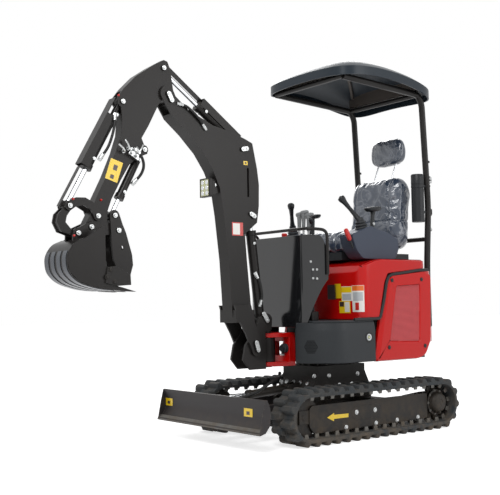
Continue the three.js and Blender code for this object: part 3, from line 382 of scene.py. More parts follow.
RUBBER = finish("track_rubber", "35393c", 0.72, specular=0.3, dust=(0.45, 0.75, 0.34, "6e6254"),
                wear=(0.004, 0.45, "6a675f", 0.0), grain=(350, 0.4, 0.2), mottle=(10, 0.35))
COWL_PLASTIC = finish("cowl_plastic", "282b2e", 0.46, specular=0.28, grain=(1500, 0.2, 0.12))
ROOF_PLASTIC = finish("roof_plastic", "1f2932", 0.32, specular=0.3, grain=(1200, 0.6, 0.06),
                      mottle=(2.5, 0.18))
CONSOLE_PLASTIC = finish("console_plastic", "3d4452", 0.5, specular=0.3, grain=(1600, 0.2, 0.15))
CONTROL_PLASTIC = finish("control_plastic", "1f2124", 0.4, specular=0.3, grain=(1500, 0.2, 0.12))
RUBBER_BOOT = finish("rubber_boot", "2a2c2f", 0.6, specular=0.35, grain=(900, 0.3, 0.1))
HOSE_RUBBER = finish("hose_rubber", "1c1c1c", 0.48, specular=0.3, grain=(1200, 0.2, 0.1))
CHROME = finish("chrome_rod", "d9dbde", 0.1, metal=1.0, mottle=(20, 0.15), grain=(600, 0.1, 0.01))
ZINC = finish("zinc_hardware", "b9bbbb", 0.3, metal=1.0, mottle=(60, 0.25), grain=(900, 0.3, 0.05))
CAST_METAL = finish("cast_metal", "5a5b5c", 0.6, metal=0.5, grain=(300, 0.5, 0.3), dust=(0.4, 0, 0, GROUND))
VINYL = finish("seat_vinyl", "26282c", 0.36, specular=0.5, grain=(900, 0.3, 0.12))
YELLOW_PANEL = finish("yellow_panel", "f6cf12", 0.3, coat=0.4, mottle=(30, 0.05), grain=(800, 0.2, 0.01))
WHITE_PANEL = finish("white_panel", "eceae4", 0.3, coat=0.4, mottle=(30, 0.05), grain=(800, 0.2, 0.01))
ORANGE_PANEL = finish("orange_panel", "e8701c", 0.3, coat=0.4, mottle=(30, 0.05), grain=(800, 0.2, 0.01))
RED_PANEL = finish("red_panel", "c8281f", 0.3, coat=0.4, mottle=(30, 0.05), grain=(800, 0.2, 0.01))
DARK_PANEL = finish("dark_panel", "3a2b2c", 0.35, coat=0.3, mottle=(30, 0.1), grain=(800, 0.2, 0.01))
RED_PLASTIC = finish("red_plastic", "c4201a", 0.35, grain=(1200, 0.2, 0.05))
# Black rubber for seals, plugs and rims; also painted shade for the blade's lifting holes and the rear vent
# slots, which are drawn as dark discs and strips.
RUBBER_AND_OPENING_SHADE = finish("rubber_seal_and_opening_shade", "191a1b", 0.55, specular=0.35, grain=(900, 0.3, 0.08))


def piece(name, verts, faces, body, material, smooth=True, angle=35):
    """A new object at the origin from point and face lists, riding on a body."""
    mesh = bpy.data.meshes.new(name)
    mesh.from_pydata(np.asarray(verts, float).tolist(), [], faces)
    work = bmesh.new()
    work.from_mesh(mesh)
    bmesh.ops.recalc_face_normals(work, faces=work.faces)
    work.to_mesh(mesh)
    work.free()
    mesh.materials.append(material)
    if smooth:
        mesh.shade_smooth()
        mesh.set_sharp_from_angle(angle=math.radians(angle))
    made = bpy.data.objects.new(name, mesh)
    scene.collection.objects.link(made)
    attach(made, body)
    return made


def quads(rows, cols, wrap_rows=False, wrap_cols=True):
    """Faces between neighbouring points of a rows by cols grid."""
    i = np.arange(rows if wrap_rows else rows - 1)[:, None]
    j = np.arange(cols if wrap_cols else cols - 1)[None, :]
    k, m = (i + 1) % rows, (j + 1) % cols
    return np.stack(np.broadcast_arrays(i * cols + j, i * cols + m, k * cols + m, k * cols + j),
                    -1).reshape(-1, 4)


def rings_mesh(rings, cap=True):
    """A skin over closed rings of points, its ends closed by one face each."""
    rings = np.asarray(rings, float)
    rows, cols = rings.shape[:2]
    faces = quads(rows, cols).tolist()
    if cap:
        faces.append(list(range(cols))[::-1])
        faces.append(list(range((rows - 1) * cols, rows * cols)))
    return rings.reshape(-1, 3), faces


def unit(v):
    """Vectors divided by their own length."""
    return v / np.maximum(np.linalg.norm(v, axis=-1, keepdims=True), 1e-12)


def curve_through(points, count):
    """Catmull-Rom curve through the points, sampled evenly along its length."""
    p = np.asarray(points, float)
    p = np.vstack([2 * p[0] - p[1], p, 2 * p[-1] - p[-2]])
    t = np.linspace(0, len(p) - 3, 24 * (len(p) - 3) + 1)
    i = np.minimum(t.astype(int), len(p) - 4)
    f = (t - i)[:, None]
    a, b, c, d = p[i], p[i + 1], p[i + 2], p[i + 3]
    q = 0.5 * (2 * b + (c - a) * f + (2 * a - 5 * b + 4 * c - d) * f**2 + (3 * b - a - 3 * c + d) * f**3)
    s = np.concatenate([[0], np.cumsum(np.linalg.norm(np.diff(q, axis=0), axis=1))])
    want = np.linspace(0, s[-1], count)
    return np.stack([np.interp(want, s, q[:, k]) for k in range(3)], 1)


def path_frames(path):
    """Two directions across a path at each of its points, turned as little as may be."""
    ahead = unit(np.gradient(path, axis=0))
    first = np.cross(ahead[0], [0.31, 0.17, 0.93])
    across = [first / np.linalg.norm(first)]
    for step in ahead[1:]:
        kept = across[-1] - step * (across[-1] @ step)
        across.append(kept / np.linalg.norm(kept))
    across = np.array(across)
    return across, np.cross(ahead, across)


def tube_mesh(path, radius, sides=10):
    """Circles of the given radius, one value or one for each point, carried along a path."""
    path = np.asarray(path, float)
    a, b = path_frames(path)
    t = np.linspace(0, 2 * np.pi, sides, endpoint=False)
    r = np.broadcast_to(np.asarray(radius, float), (len(path),))[:, None, None]
    ring = a[:, None] * np.cos(t)[None, :, None] + b[:, None] * np.sin(t)[None, :, None]
    return rings_mesh(path[:, None] + r * ring)


def lathe_mesh(profile, at, axis, sides=24, flats=None):
    """A profile of (distance along the axis, radius) turned round an axis; flats gives a hexagon."""
    axis = unit(np.asarray(axis, float))
    a = unit(np.cross(axis, [0.3, 0.5, 0.81]))
    b = np.cross(axis, a)
    t = np.linspace(0, 2 * np.pi, flats or sides, endpoint=False)
    ring = a[None] * np.cos(t)[:, None] + b[None] * np.sin(t)[:, None]
    s, r = np.asarray(profile, float).T
    r = np.maximum(r, 2e-5)[:, None, None]
    return rings_mesh(np.asarray(at, float) + axis * s[:, None, None] + ring[None] * r)


def together(parts):
    """Several (points, faces) as one."""
    points, faces, base = [], [], 0
    for verts, some in parts:
        points.append(np.asarray(verts, float))
        faces += [[v + base for v in face] for face in some]
        base += len(verts)
    return np.vstack(points), faces


def plate_mesh(outline, low, high, chamfer=0.0006):
    """An outline of points on a plane carried from low to high, its rims eased inwards.

    outline is a list of 3-D points; low and high are distances along its own normal."""
    p = np.asarray(outline, float)
    nxt = np.roll(p, -1, 0)
    normal = unit(np.cross(p - p.mean(0), nxt - p.mean(0)).sum(0))
    along = unit(nxt - p)
    inward = np.cross(normal, along)
    corner = unit(inward + np.roll(inward, 1, 0))
    lean = np.maximum(np.abs((corner * inward).sum(1, keepdims=True)), 0.4)
    eased = p + corner * chamfer / lean
    c = min(chamfer, (high - low) / 2.01)
    return rings_mesh([eased + normal * low, p + normal * (low + c), p + normal * (high - c),
                       eased + normal * high])


def rounded(points, radius, steps=5):
    """A flat outline's corners replaced by arcs of a quadratic curve."""
    p = np.asarray(points, float)
    out = []
    for k in range(len(p)):
        back, ahead = p[k - 1] - p[k], p[(k + 1) % len(p)] - p[k]
        lb, la = np.linalg.norm(back), np.linalg.norm(ahead)
        cut = min(radius if np.isscalar(radius) else radius[k], lb / 2.05, la / 2.05)
        a, b = p[k] + back / lb * cut, p[k] + ahead / la * cut
        t = np.linspace(0, 1, steps + 1)[:, None]
        out.append((1 - t) ** 2 * a + 2 * t * (1 - t) * p[k] + t**2 * b)
    return np.vstack(out)


def bolt_meshes(places, axis, head=0.0085, high=0.006, washer=True):
    """Hexagon heads with a chamfered crown, each on a round washer."""
    parts = []
    for at in places:
        at, n = np.asarray(at, float), unit(np.asarray(axis, float))
        if washer:
            parts.append(lathe_mesh([(-0.001, 0), (-0.001, head * 1.45), (0.0014, head * 1.45),
                                     (0.0017, head * 1.38),
                                     (0.0017, 0)], at, n, 20))
        parts.append(lathe_mesh([(0, 0), (0, head), (high * 0.8, head), (high, head * 0.8), (high, 0)], at,
                                n, flats=6))
    return parts


def shell(name, material, edge=0.0011, angle=32, segments=2, clamp=False):
    """A CAD node's own shape with its points merged, its flats joined and its edges rounded."""
    source = frame["nodes"][name]
    mesh = source.data.copy()
    mesh.materials.clear()
    mesh.materials.append(material)
    work = bmesh.new()
    work.from_mesh(mesh)
    bmesh.ops.remove_doubles(work, verts=work.verts, dist=2e-5)
    bmesh.ops.dissolve_limit(work, angle_limit=math.radians(0.6), verts=work.verts, edges=work.edges)
    work.to_mesh(mesh)
    work.free()
    for layer in list(mesh.attributes):
        if layer.name == "custom_normal":
            mesh.attributes.remove(layer)
    mesh.shade_smooth()
    mesh.set_sharp_from_angle(angle=math.radians(angle))
    made = bpy.data.objects.new(name + "_finished", mesh)
    scene.collection.objects.link(made)
    bevel = made.modifiers.new("rounded_edges", "BEVEL")
    bevel.width = edge
    bevel.segments = segments
    bevel.limit_method = "ANGLE"
    bevel.angle_limit = math.radians(angle)
    bevel.use_clamp_overlap = clamp
    bevel.harden_normals = True
    bevel.miter_outer = "MITER_ARC"
    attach(made, body_name(name))
    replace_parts(made, name)
    return made


def body_name(name):
    """The body that carries a CAD node."""
    return frame["nodes"][name]["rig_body"]


# ---- the rigid parts, each with its finish ----------------------------------------------------
FINISHES = {
    "track_frame_left": CHASSIS_PAINT, "track_frame_right": CHASSIS_PAINT, "idler_left": CHASSIS_PAINT,
    "idler_right": CHASSIS_PAINT, "sprocket_left": CHASSIS_PAINT, "sprocket_right": CHASSIS_PAINT,
    "car_body": CHASSIS_PAINT, "dozer_blade": BLADE_PAINT, "blade_cylinder_barrel": CHASSIS_PAINT,
    "blade_cylinder_rod": CHROME, "main_frame": CHASSIS_PAINT, "swing_bracket": RED_PAINT,
    "floor_plate": COWL_PLASTIC, "engine_hood": RED_PAINT, "side_panel_left": RED_PAINT,
    "side_panel_right": RED_PAINT, "counterweight": RED_PAINT, "rear_cover": RED_PAINT,
    "engine_block": CAST_METAL, "front_guard": GUARD_PAINT, "handrail": BLACK_PAINT,
    "travel_levers": BLACK_PAINT, "seat_base": COWL_PLASTIC, "console_left": CONSOLE_PLASTIC,
    "console_right": CONSOLE_PLASTIC, "joystick_left": CONTROL_PLASTIC, "joystick_right": CONTROL_PLASTIC,
    "canopy_frame": BLACK_PAINT, "document_tube": CONTROL_PLASTIC, "swing_post": BLACK_PAINT,
    "boom": BLACK_PAINT, "work_light": BLACK_PAINT, "boom_cylinder_barrel": BLACK_PAINT,
    "boom_cylinder_rod": CHROME, "dipper": BLACK_PAINT, "arm_cylinder_barrel": BLACK_PAINT,
    "arm_cylinder_rod": CHROME, "bucket": BLACK_PAINT, "rocker_arm": BLACK_PAINT,
    "bucket_link": BLACK_PAINT,
    "bucket_cylinder_barrel": BLACK_PAINT, "bucket_cylinder_rod": CHROME, "thumb": BLACK_PAINT,
    "thumb_cylinder_barrel": BLACK_PAINT, "thumb_cylinder_rod": CHROME,
    "lower_cowl_left": COWL_PLASTIC, "lower_cowl_right": COWL_PLASTIC, "canopy_roof": ROOF_PLASTIC,
    "track_left": RUBBER, "track_right": RUBBER, "seat_cushion": VINYL, "seat_back": VINYL,
    "headrest": VINYL,
}
REMADE = {
    "track_left", "track_right", "sprocket_left", "sprocket_right", "lower_cowl_left", "lower_cowl_right",
    "side_panel_left", "side_panel_right", "front_guard", "handrail", "travel_levers", "seat_cushion",
    "seat_back", "headrest", "canopy_frame", "joystick_left", "joystick_right", "canopy_roof",
    "document_tube", "work_light",
    "blade_cylinder_rod", "boom_cylinder_rod", "arm_cylinder_rod", "bucket_cylinder_rod",
    "thumb_cylinder_rod",
}
EDGES = {"engine_hood": 0.006, "counterweight": 0.006, "rear_cover": 0.006, "console_left": 0.005,
         "console_right": 0.005, "bucket": 0.0015, "boom": 0.0016, "swing_bracket": 0.003}
SLOTTED = {"dipper", "boom"}  # their slots are narrower than a bevel, so it stops where edges meet
for part, paint in FINISHES.items():
    if part not in REMADE:
        shell(part, paint, edge=EDGES.get(part, 0.0011), clamp=part in SLOTTED)


# ---- undercarriage ------------------------------------------------------------------------------
LINKS, HALF_BASE, HUB, BELT_OUT = 39, 0.518, 0.148, 0.126  # lengths in metres
SPROCKET_TEETH, COVER_BOLTS, SLEW_BOLTS = 11, 9, 18
SPROCKET_AT = (-518, 372, 148)
FRAME_FACE, FRAME_EDGE = 405, 391  # the cover plate's outer face and the frame's, from the middle
LID_AT, LID_HALF = (66, 142), 76
LID_BOLTS = ((140, 145), (-4, 146))
ROLLER_BOLTS = ((221, 71), (-10, 72), (-181, 73), (-357, 74))
ARROW = ((361, 135), (309, 156), (310, 146), (202, 144), (203, 124), (310, 124), (311, 112))
SIDES = (("left", 1.0), ("right", -1.0))


def on_loop(s, r):
    """Two straights joined by two half circles: x, z and heading at belt distance s, radius r.

    Along the lower straight x runs from one hub to the other at r below them, then the point turns
    about the front hub; the second half of the loop is the first turned half round."""
    straight, bend = 2 * HALF_BASE, np.pi * BELT_OUT
    s = np.asarray(s, float) % (2 * (straight + bend))
    second = s >= straight + bend
    s = np.where(second, s - straight - bend, s)
    t = np.clip((s - straight) / BELT_OUT, 0, None)
    x = np.minimum(s - HALF_BASE, HALF_BASE) + r * np.sin(t)
    z = -r * np.cos(t)
    flip = np.where(second, -1, 1)
    return x * flip + SLEW_X, z * flip + HUB, t + np.where(second, np.pi, 0)


def block_on_loop(s, rows):
    """Rings of (along, y, out) set on the belt at each distance s: one small block for each."""
    x, z, turn = on_loop(s, BELT_OUT)
    rows = np.asarray(rows, float)
    c, q = np.cos(turn)[:, None, None], np.sin(turn)[:, None, None]
    along, y, out = rows[None, ..., 0], rows[None, ..., 1], rows[None, ..., 2]
    world = np.stack([x[:, None, None] + along * c + out * q, np.broadcast_to(y, (len(x),) + y.shape[1:]),
                      z[:, None, None] + along * q - out * c], -1)
    return together([rings_mesh(one) for one in world])


def eased_rings(half, y0, y1, levels, corner=0.003):
    """Rectangles with cut corners: half their length along the belt, from y0 to y1, shrinking by level."""
    rings = []
    for out, inset in levels:
        a, b0, b1, k = half - inset, y0 + inset * 0.6, y1 - inset * 0.6, corner
        rings.append([(-a + k, b0, out), (a - k, b0, out), (a, b0 + k, out), (a, b1 - k, out),
                      (a - k, b1, out),
                      (-a + k, b1, out), (-a, b1 - k, out), (-a, b0 + k, out)])
    return rings


def make_track(label, hand):
    """A belt section carried round the loop, staggered lugs outside and guide teeth inside."""
    pitch = 2 * (2 * HALF_BASE + np.pi * BELT_OUT) / LINKS
    s = np.arange(LINKS * 8) * pitch / 8
    section = np.array([(0.286, 0.1085), (0.464, 0.1085), (0.465, 0.111), (0.465, 0.1235), (0.462, 0.126),
                        (0.420, 0.1245), (0.375, 0.126), (0.330, 0.1245), (0.288, 0.126), (0.285, 0.1235),
                        (0.285, 0.111)])
    x, z, _ = on_loop(s[:, None], section[None, :, 1])
    belt = np.stack([x, np.broadcast_to(section[None, :, 0] * hand, x.shape), z], -1)
    faces = quads(len(s), len(section), True, True).tolist()
    levels = [(-0.003, -0.002), (0.006, 0), (0.0195, 0.007), (0.022, 0.010)]
    k = np.arange(LINKS) * pitch
    parts = [(belt.reshape(-1, 3), faces)]
    for y0, y1, shift in ((0.2855, 0.379, 0), (0.371, 0.4645, 0.5)):
        rings = np.array(eased_rings(0.021, y0, y1, levels, 0.006))
        rings[..., 1] *= hand
        parts.append(block_on_loop(k + shift * pitch, rings))
    bar = np.array(eased_rings(0.006, 0.30, 0.45, [(-0.002, 0), (0.0035, 0.001), (0.0045, 0.003)]))
    bar[..., 1] *= hand
    parts.append(block_on_loop(k + 0.25 * pitch, bar))
    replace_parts(piece(f"track_belt_{label}", *together(parts), "undercarriage", RUBBER, angle=28),
                f"track_{label}")
    teeth = []
    for y0, y1 in ((0.327, 0.339), (0.407, 0.419)):
        rings = np.array(eased_rings(0.015, y0, y1, [(-0.016, 0), (-0.030, 0.002), (-0.040, 0.0035)],
                                     0.002))
        rings[..., 1] *= hand
        teeth += [block_on_loop(k + 0.1 * pitch, rings)]
    piece(f"guide_teeth_{label}", *together(teeth), "undercarriage", STEEL_DUSTY, angle=28)


def make_sprocket(label, hand):
    """A toothed ring whose radius swells and falls eleven times round, with a stepped hub cover."""
    t = np.linspace(0, 2 * np.pi, 132, endpoint=False)
    r = 0.0885 + 0.0165 * np.clip(1.5 * np.cos(SPROCKET_TEETH * t) + 0.2, -0.6, 1)
    centre = at(SPROCKET_AT[0], SPROCKET_AT[1] * hand, SPROCKET_AT[2])
    ring = centre + np.stack([r * np.cos(t), 0 * t, r * np.sin(t)], 1)
    out = (0, hand, 0)
    cover = [(-0.052, 0), (-0.052, 0.058), (0.024, 0.062), (0.030, 0.074), (0.034, 0.074), (0.036, 0.064),
             (0.052, 0.060), (0.066, 0.052), (0.071, 0.044), (0.073, 0.040), (0.073, 0.018),
             (0.0705, 0.016),
             (0.0705, 0)]
    motor = [(-0.07, 0), (-0.07, 0.055), (0.0, 0.058), (0.0, 0)]
    wheel = [plate_mesh(ring, -0.012, 0.012, 0.003), lathe_mesh(cover, centre, out, 48),
             lathe_mesh(motor, centre, out, 32)]
    made = piece(f"sprocket_hub_{label}", *together(wheel), "undercarriage", CHASSIS_PAINT)
    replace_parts(made, f"sprocket_{label}")
    a = np.arange(COVER_BOLTS) * 2 * np.pi / COVER_BOLTS
    places = [centre + np.array([0.068 * math.cos(b), 0.034 * hand, 0.068 * math.sin(b)]) for b in a]
    piece(f"hub_bolts_{label}", *together(bolt_meshes(places, out, 0.006, 0.005)), "undercarriage",
          STEEL_DUSTY)


def stadium_outline(centre, half, radius, y, steps=14):
    """Two half circles a distance apart along X, seen from the side."""
    t = np.linspace(-np.pi / 2, np.pi / 2, steps)
    front = np.stack([half + radius * np.cos(t), radius * np.sin(t)], 1)
    both = np.vstack([front, -front])
    return points(*[(centre[0] + u, y, centre[1] + v) for u, v in both])


def make_frame_details(label, hand):
    """Cover plate hardware: an oval lid, its bolts, roller bolts with caps, and an arrow panel."""
    y = FRAME_FACE * hand
    out = (0, hand, 0)
    lid = plate_mesh(stadium_outline(LID_AT, LID_HALF, 36, y), -0.0012, 0.0012, 0.0008)
    groove = plate_mesh(stadium_outline(LID_AT, LID_HALF + 2, 38, y), -0.0004, 0.0004, 0.0002)
    piece(f"frame_lid_{label}", *together([lid, groove]), "undercarriage", CHASSIS_PAINT)
    bolts = bolt_meshes([at(x, y + hand * 0.5, z) for x, z in LID_BOLTS], out, 0.009, 0.006)
    bolts += bolt_meshes([at(x, y + hand * 0.3, z) for x, z in ROLLER_BOLTS], out, 0.009, 0.006)
    piece(f"frame_bolts_{label}", *together(bolts), "undercarriage", ZINC)
    caps = [lathe_mesh([(0, 0), (0, 0.024), (0.004, 0.022), (0.005, 0.012), (0.009, 0.010), (0.009, 0)],
                       at(x, FRAME_EDGE * hand, 72), out, 28) for x, _ in ROLLER_BOLTS]
    piece(f"roller_caps_{label}", *together(caps), "undercarriage", STEEL_DUSTY)
    arrow = points(*[(x, y, z) for x, z in ARROW])
    piece(f"travel_arrow_{label}", *plate_mesh(arrow, -0.0007, 0.0007, 0.0002), "undercarriage",
          YELLOW_PANEL)
    slider = [lathe_mesh([(0, 0), (0, 0.013), (0.05, 0.013), (0.052, 0)], at(330 + 60 * k, 380 * hand, 150),
                         (1, 0, 0), 16) for k in range(3)]
    piece(f"track_tensioner_{label}", *together(slider), "undercarriage", STEEL_DUSTY)


STEEL_DUSTY = finish("dusty_steel", "6b6a67", 0.5, metal=0.7, dust=(0.4, 0.8, 0.34, "6e6254"),
                     mottle=(40, 0.4), grain=(500, 0.3, 0.2))
for word, sign in SIDES:
    make_track(word, sign)
    make_sprocket(word, sign)
    make_frame_details(word, sign)


BLADE_PANELS, BLADE_HOLES, BLADE_END = (-426, 306), (-412, 318), 464
BLADE_HOSE = ((352, 24, 300), (380, 60, 330), (470, 92, 318), (600, 96, 262), (690, 60, 240),
              (700, 28, 246))
PEDESTAL_BOLTS = ((216, 331), (101, 326), (-128, 325), (20, 268), (-80, 268))


def make_blade_details():
    """Blank panels, lifting holes, a bolted cutting edge and the cylinder's hose behind the blade."""
    for k, y in enumerate(BLADE_PANELS):
        panel = points((813.5, y - 35, 214), (813.5, y + 35, 214), (813.0, y + 33, 166),
                       (813.0, y - 37, 166))
        piece(f"blade_panel_{k}", *plate_mesh(panel, -0.0012, 0.0012, 0.0003), "blade", YELLOW_PANEL)
        mark = points((813.6, y - 14, 199), (813.6, y + 12, 199), (813.4, y + 11, 182),
                      (813.4, y - 15, 182))
        piece(f"blade_mark_{k}", *plate_mesh(mark, -0.0017, 0.0017, 0.0002), "blade", DARK_PANEL)
    # The lifting holes are thin near-black discs on the blade face: painted shade for the holes' dark
    # inside.
    holes = [lathe_mesh([(0, 0), (0, 0.0075), (0.0016, 0.0075), (0.0016, 0)], at(814, y, 236), (1, 0, 0),
                        20)
             for y in BLADE_HOLES]
    piece("blade_holes", *together(holes), "blade", RUBBER_AND_OPENING_SHADE)
    edge = points((869, -BLADE_END, 98), (869, BLADE_END, 98), (846, BLADE_END, 122),
                  (846, -BLADE_END, 122))
    piece("cutting_edge", *plate_mesh(edge, -0.002, 0.0035, 0.001), "blade", STEEL_DUSTY)
    hose = curve_through(points(*BLADE_HOSE), 48)
    piece("blade_hose", *tube_mesh(hose, 0.0085, 12), "undercarriage", HOSE_RUBBER)
    ends = [lathe_mesh([(0, 0), (0, 0.011), (0.012, 0.011), (0.014, 0.009), (0.032, 0.009), (0.034, 0)],
                       hose[i], hose[j] - hose[i], 6 if i else 16) for i, j in ((0, 2), (-1, -3))]
    piece("blade_hose_ends", *together(ends), "undercarriage", ZINC)
    bolts = bolt_meshes([at(x, 150, z) for x, z in PEDESTAL_BOLTS], (0, 1, 0), 0.0095, 0.006)
    bolts += bolt_meshes([at(x, -150, z) for x, z in PEDESTAL_BOLTS[:3]], (0, -1, 0))
    bolts += bolt_meshes([at(214, y, 290) for y in (-90, -30, 30, 90)], (1, 0, 0.5), 0.0095, 0.006)
    piece("pedestal_bolts", *together(bolts), "undercarriage", ZINC)
    t = np.arange(SLEW_BOLTS) * 2 * np.pi / SLEW_BOLTS
    ring = bolt_meshes([at(166 * math.cos(a), 130 * math.sin(a), 385) for a in t], (0, 0, 1), 0.007, 0.006)
    piece("slew_ring_bolts", *together(ring), "undercarriage", STEEL_DUSTY)


make_blade_details()


# ---- cowl, panels and hood ----------------------------------------------------------------------
def skin_mesh(surface, u, v, low, high):
    """A sheet on surface(u, v, lift): the grid at lift high, turned back underneath at lift low."""
    u, v = np.asarray(u, float)[:, None], np.asarray(v, float)[None, :]
    over, under = surface(u, v, high), surface(u, v, low)
    return rings_mesh(np.concatenate([over, under[:, ::-1]], 1))


def plan_line(x, y):
    """A line in plan with its running length and its outward normal, for points along it."""
    p = np.stack([x, y], 1)
    ahead = unit(np.gradient(p, axis=0))
    run = np.concatenate([[0], np.cumsum(np.linalg.norm(np.diff(p, axis=0), axis=1))])
    return p, np.stack([ahead[:, 1], -ahead[:, 0]], 1), run


turn = np.linspace(math.asin(0.14), np.pi / 2, 240)
COWL_LINE = plan_line(np.concatenate([200 + 200 * np.cos(turn), np.linspace(198, -5, 60)]),
                      np.concatenate([170 + 250 * np.sin(turn), np.full(60, 420.0)]))


def on_line(line, hand=1):
    """The upright surface over a plan line: u along the line, v upwards, lift outwards."""
    p, normal, run = line

    def surface(u, v, lift):
        """The line's point at u raised to v, moved along its normal by lift."""
        x, y, nx, ny = (np.interp(u, run, col) for col in (*p.T, *normal.T))
        return at(x + nx * lift, (y + ny * lift) * hand, v)
    return surface


VENT_AT, VENT_REACH, VENT_PITCH = (99, 506), 37, (9.2, 8.0)  # along the line and up
VENT_HOLE = [(3.3, -1), (3.3, 0.5), (0.1, 0.5), (0.1, -1)]
COWL_LAMP = (475.0, 550.0)


def make_cowl(label, hand):
    """The plan line swept with a wall section whose top leans in to the floor plate."""
    surface = on_line(COWL_LINE, hand)
    section = np.array([(-3, 415), (0, 419), (0, 590), (-1, 596), (-7, 628), (-8, 633), (-10, 635.8),
                        (-16, 635.8),
                        (-17, 628), (-10, 590), (-9, 585), (-9, 415)])
    u = np.linspace(0, COWL_LINE[2][-1], 90)[:, None]
    wall = rings_mesh(surface(u, section[None, :, 1], section[None, :, 0]))
    made = piece(f"cowl_{label}", *wall, "upper_body", COWL_PLASTIC, angle=24)
    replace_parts(made, f"lower_cowl_{label}")
    # The vent holes are not cut through: each is a near-black disc laid on the cowl, painted shade for the
    # hole's dark inside.
    holes = []
    for row in range(-4, 5):
        for column in np.arange(-4, 5) + 0.5 * (row % 2):
            across, up = column * VENT_PITCH[0], row * VENT_PITCH[1]
            if math.hypot(across, up) < VENT_REACH:
                holes.append(ring_on(surface, VENT_AT[0] + across, VENT_AT[1] + up, VENT_HOLE, 8))
    piece(f"vent_{label}", *together(holes), "upper_body", VENT_HOLE_SHADE)
    centre = surface(np.array(COWL_LAMP[0]), np.array(COWL_LAMP[1]), 0)
    out = np.array([0.0, hand, 0.0])
    rim = lathe_mesh([(-0.004, 0), (-0.004, 0.030), (0.001, 0.030), (0.002, 0.024), (-0.001, 0.020),
                      (-0.003, 0)],
                     centre, out, 36)
    piece(f"lamp_rim_{label}", *rim, "upper_body", RUBBER_AND_OPENING_SHADE)
    bowl = lathe_mesh([(-0.003, 0), (-0.003, 0.019), (0.002, 0.0185), (0.0025, 0.013), (-0.001, 0.009),
                       (-0.002, 0)],
                      centre, out, 32)
    piece(f"lamp_bowl_{label}", *bowl, "upper_body", ZINC)
    glass = lathe_mesh([(-0.002, 0), (-0.002, 0.0085), (0.0005, 0.007), (0.0018, 0.003), (0.002, 0)],
                       centre, out, 24)
    piece(f"lamp_lens_{label}", *glass, "upper_body", LENS)


def ring_on(surface, u0, v0, profile, sides):
    """A round or many-sided profile of (radius, lift) turned about a point of a surface."""
    t = np.linspace(0, 2 * np.pi, sides, endpoint=False) + np.pi / 6
    r, lift = np.array(profile, float).T[:, :, None]
    closed = surface(u0 + r * np.cos(t), v0 + r * np.sin(t), np.broadcast_to(lift, (len(profile), sides)))
    return closed.reshape(-1, 3), quads(len(profile), sides, True, True).tolist()


def ray_hits(outline, centre, angles):
    """Where rays from the centre at the given angles meet a closed outline round it."""
    a = np.asarray(outline, float) - centre
    b = np.roll(a, -1, 0)
    way = np.stack([np.cos(angles), np.sin(angles)], 1)[:, None]
    edge = (b - a)[None]
    cross = way[..., 0] * edge[..., 1] - way[..., 1] * edge[..., 0]
    cross = np.where(np.abs(cross) < 1e-12, 1e-12, cross)
    far = (a[None, :, 0] * edge[..., 1] - a[None, :, 1] * edge[..., 0]) / cross
    part = (a[None, :, 0] * way[..., 1] - a[None, :, 1] * way[..., 0]) / cross
    far = np.where((part > -1e-7) & (part < 1 + 1e-7) & (far > 0), far, np.inf).min(1)
    return centre + way[:, 0] * far[:, None]


PANEL = [(-8, 410), (-60, 640), (-113, 850), (-138, 893), (-437, 923), (-493, 900), (-479, 515),
         (-432, 432),
         (-376, 410)]
GRILLE = [(-192, 833), (-390, 842), (-376, 513), (-131, 522)]
GRILLE_MIDDLE, GRILLE_STEP, GRILLE_WIRE = (-275.0, 680.0), 6.5, 0.0016
PANEL_FACE = 420
PANEL_PLUGS = ((-403, 872), (-116, 487), (-420, 484), (-152, 866))
PANEL_SEAL = [(-470, 411, 929), (-385, 412, 925), (-250, 412, 909), (-153, 412, 896), (-118, 412, 862),
              (-91, 412, 762), (-62, 412, 672), (-50, 413, 655), (-20, 415, 651), (60, 415, 651),
              (150, 413, 649)]


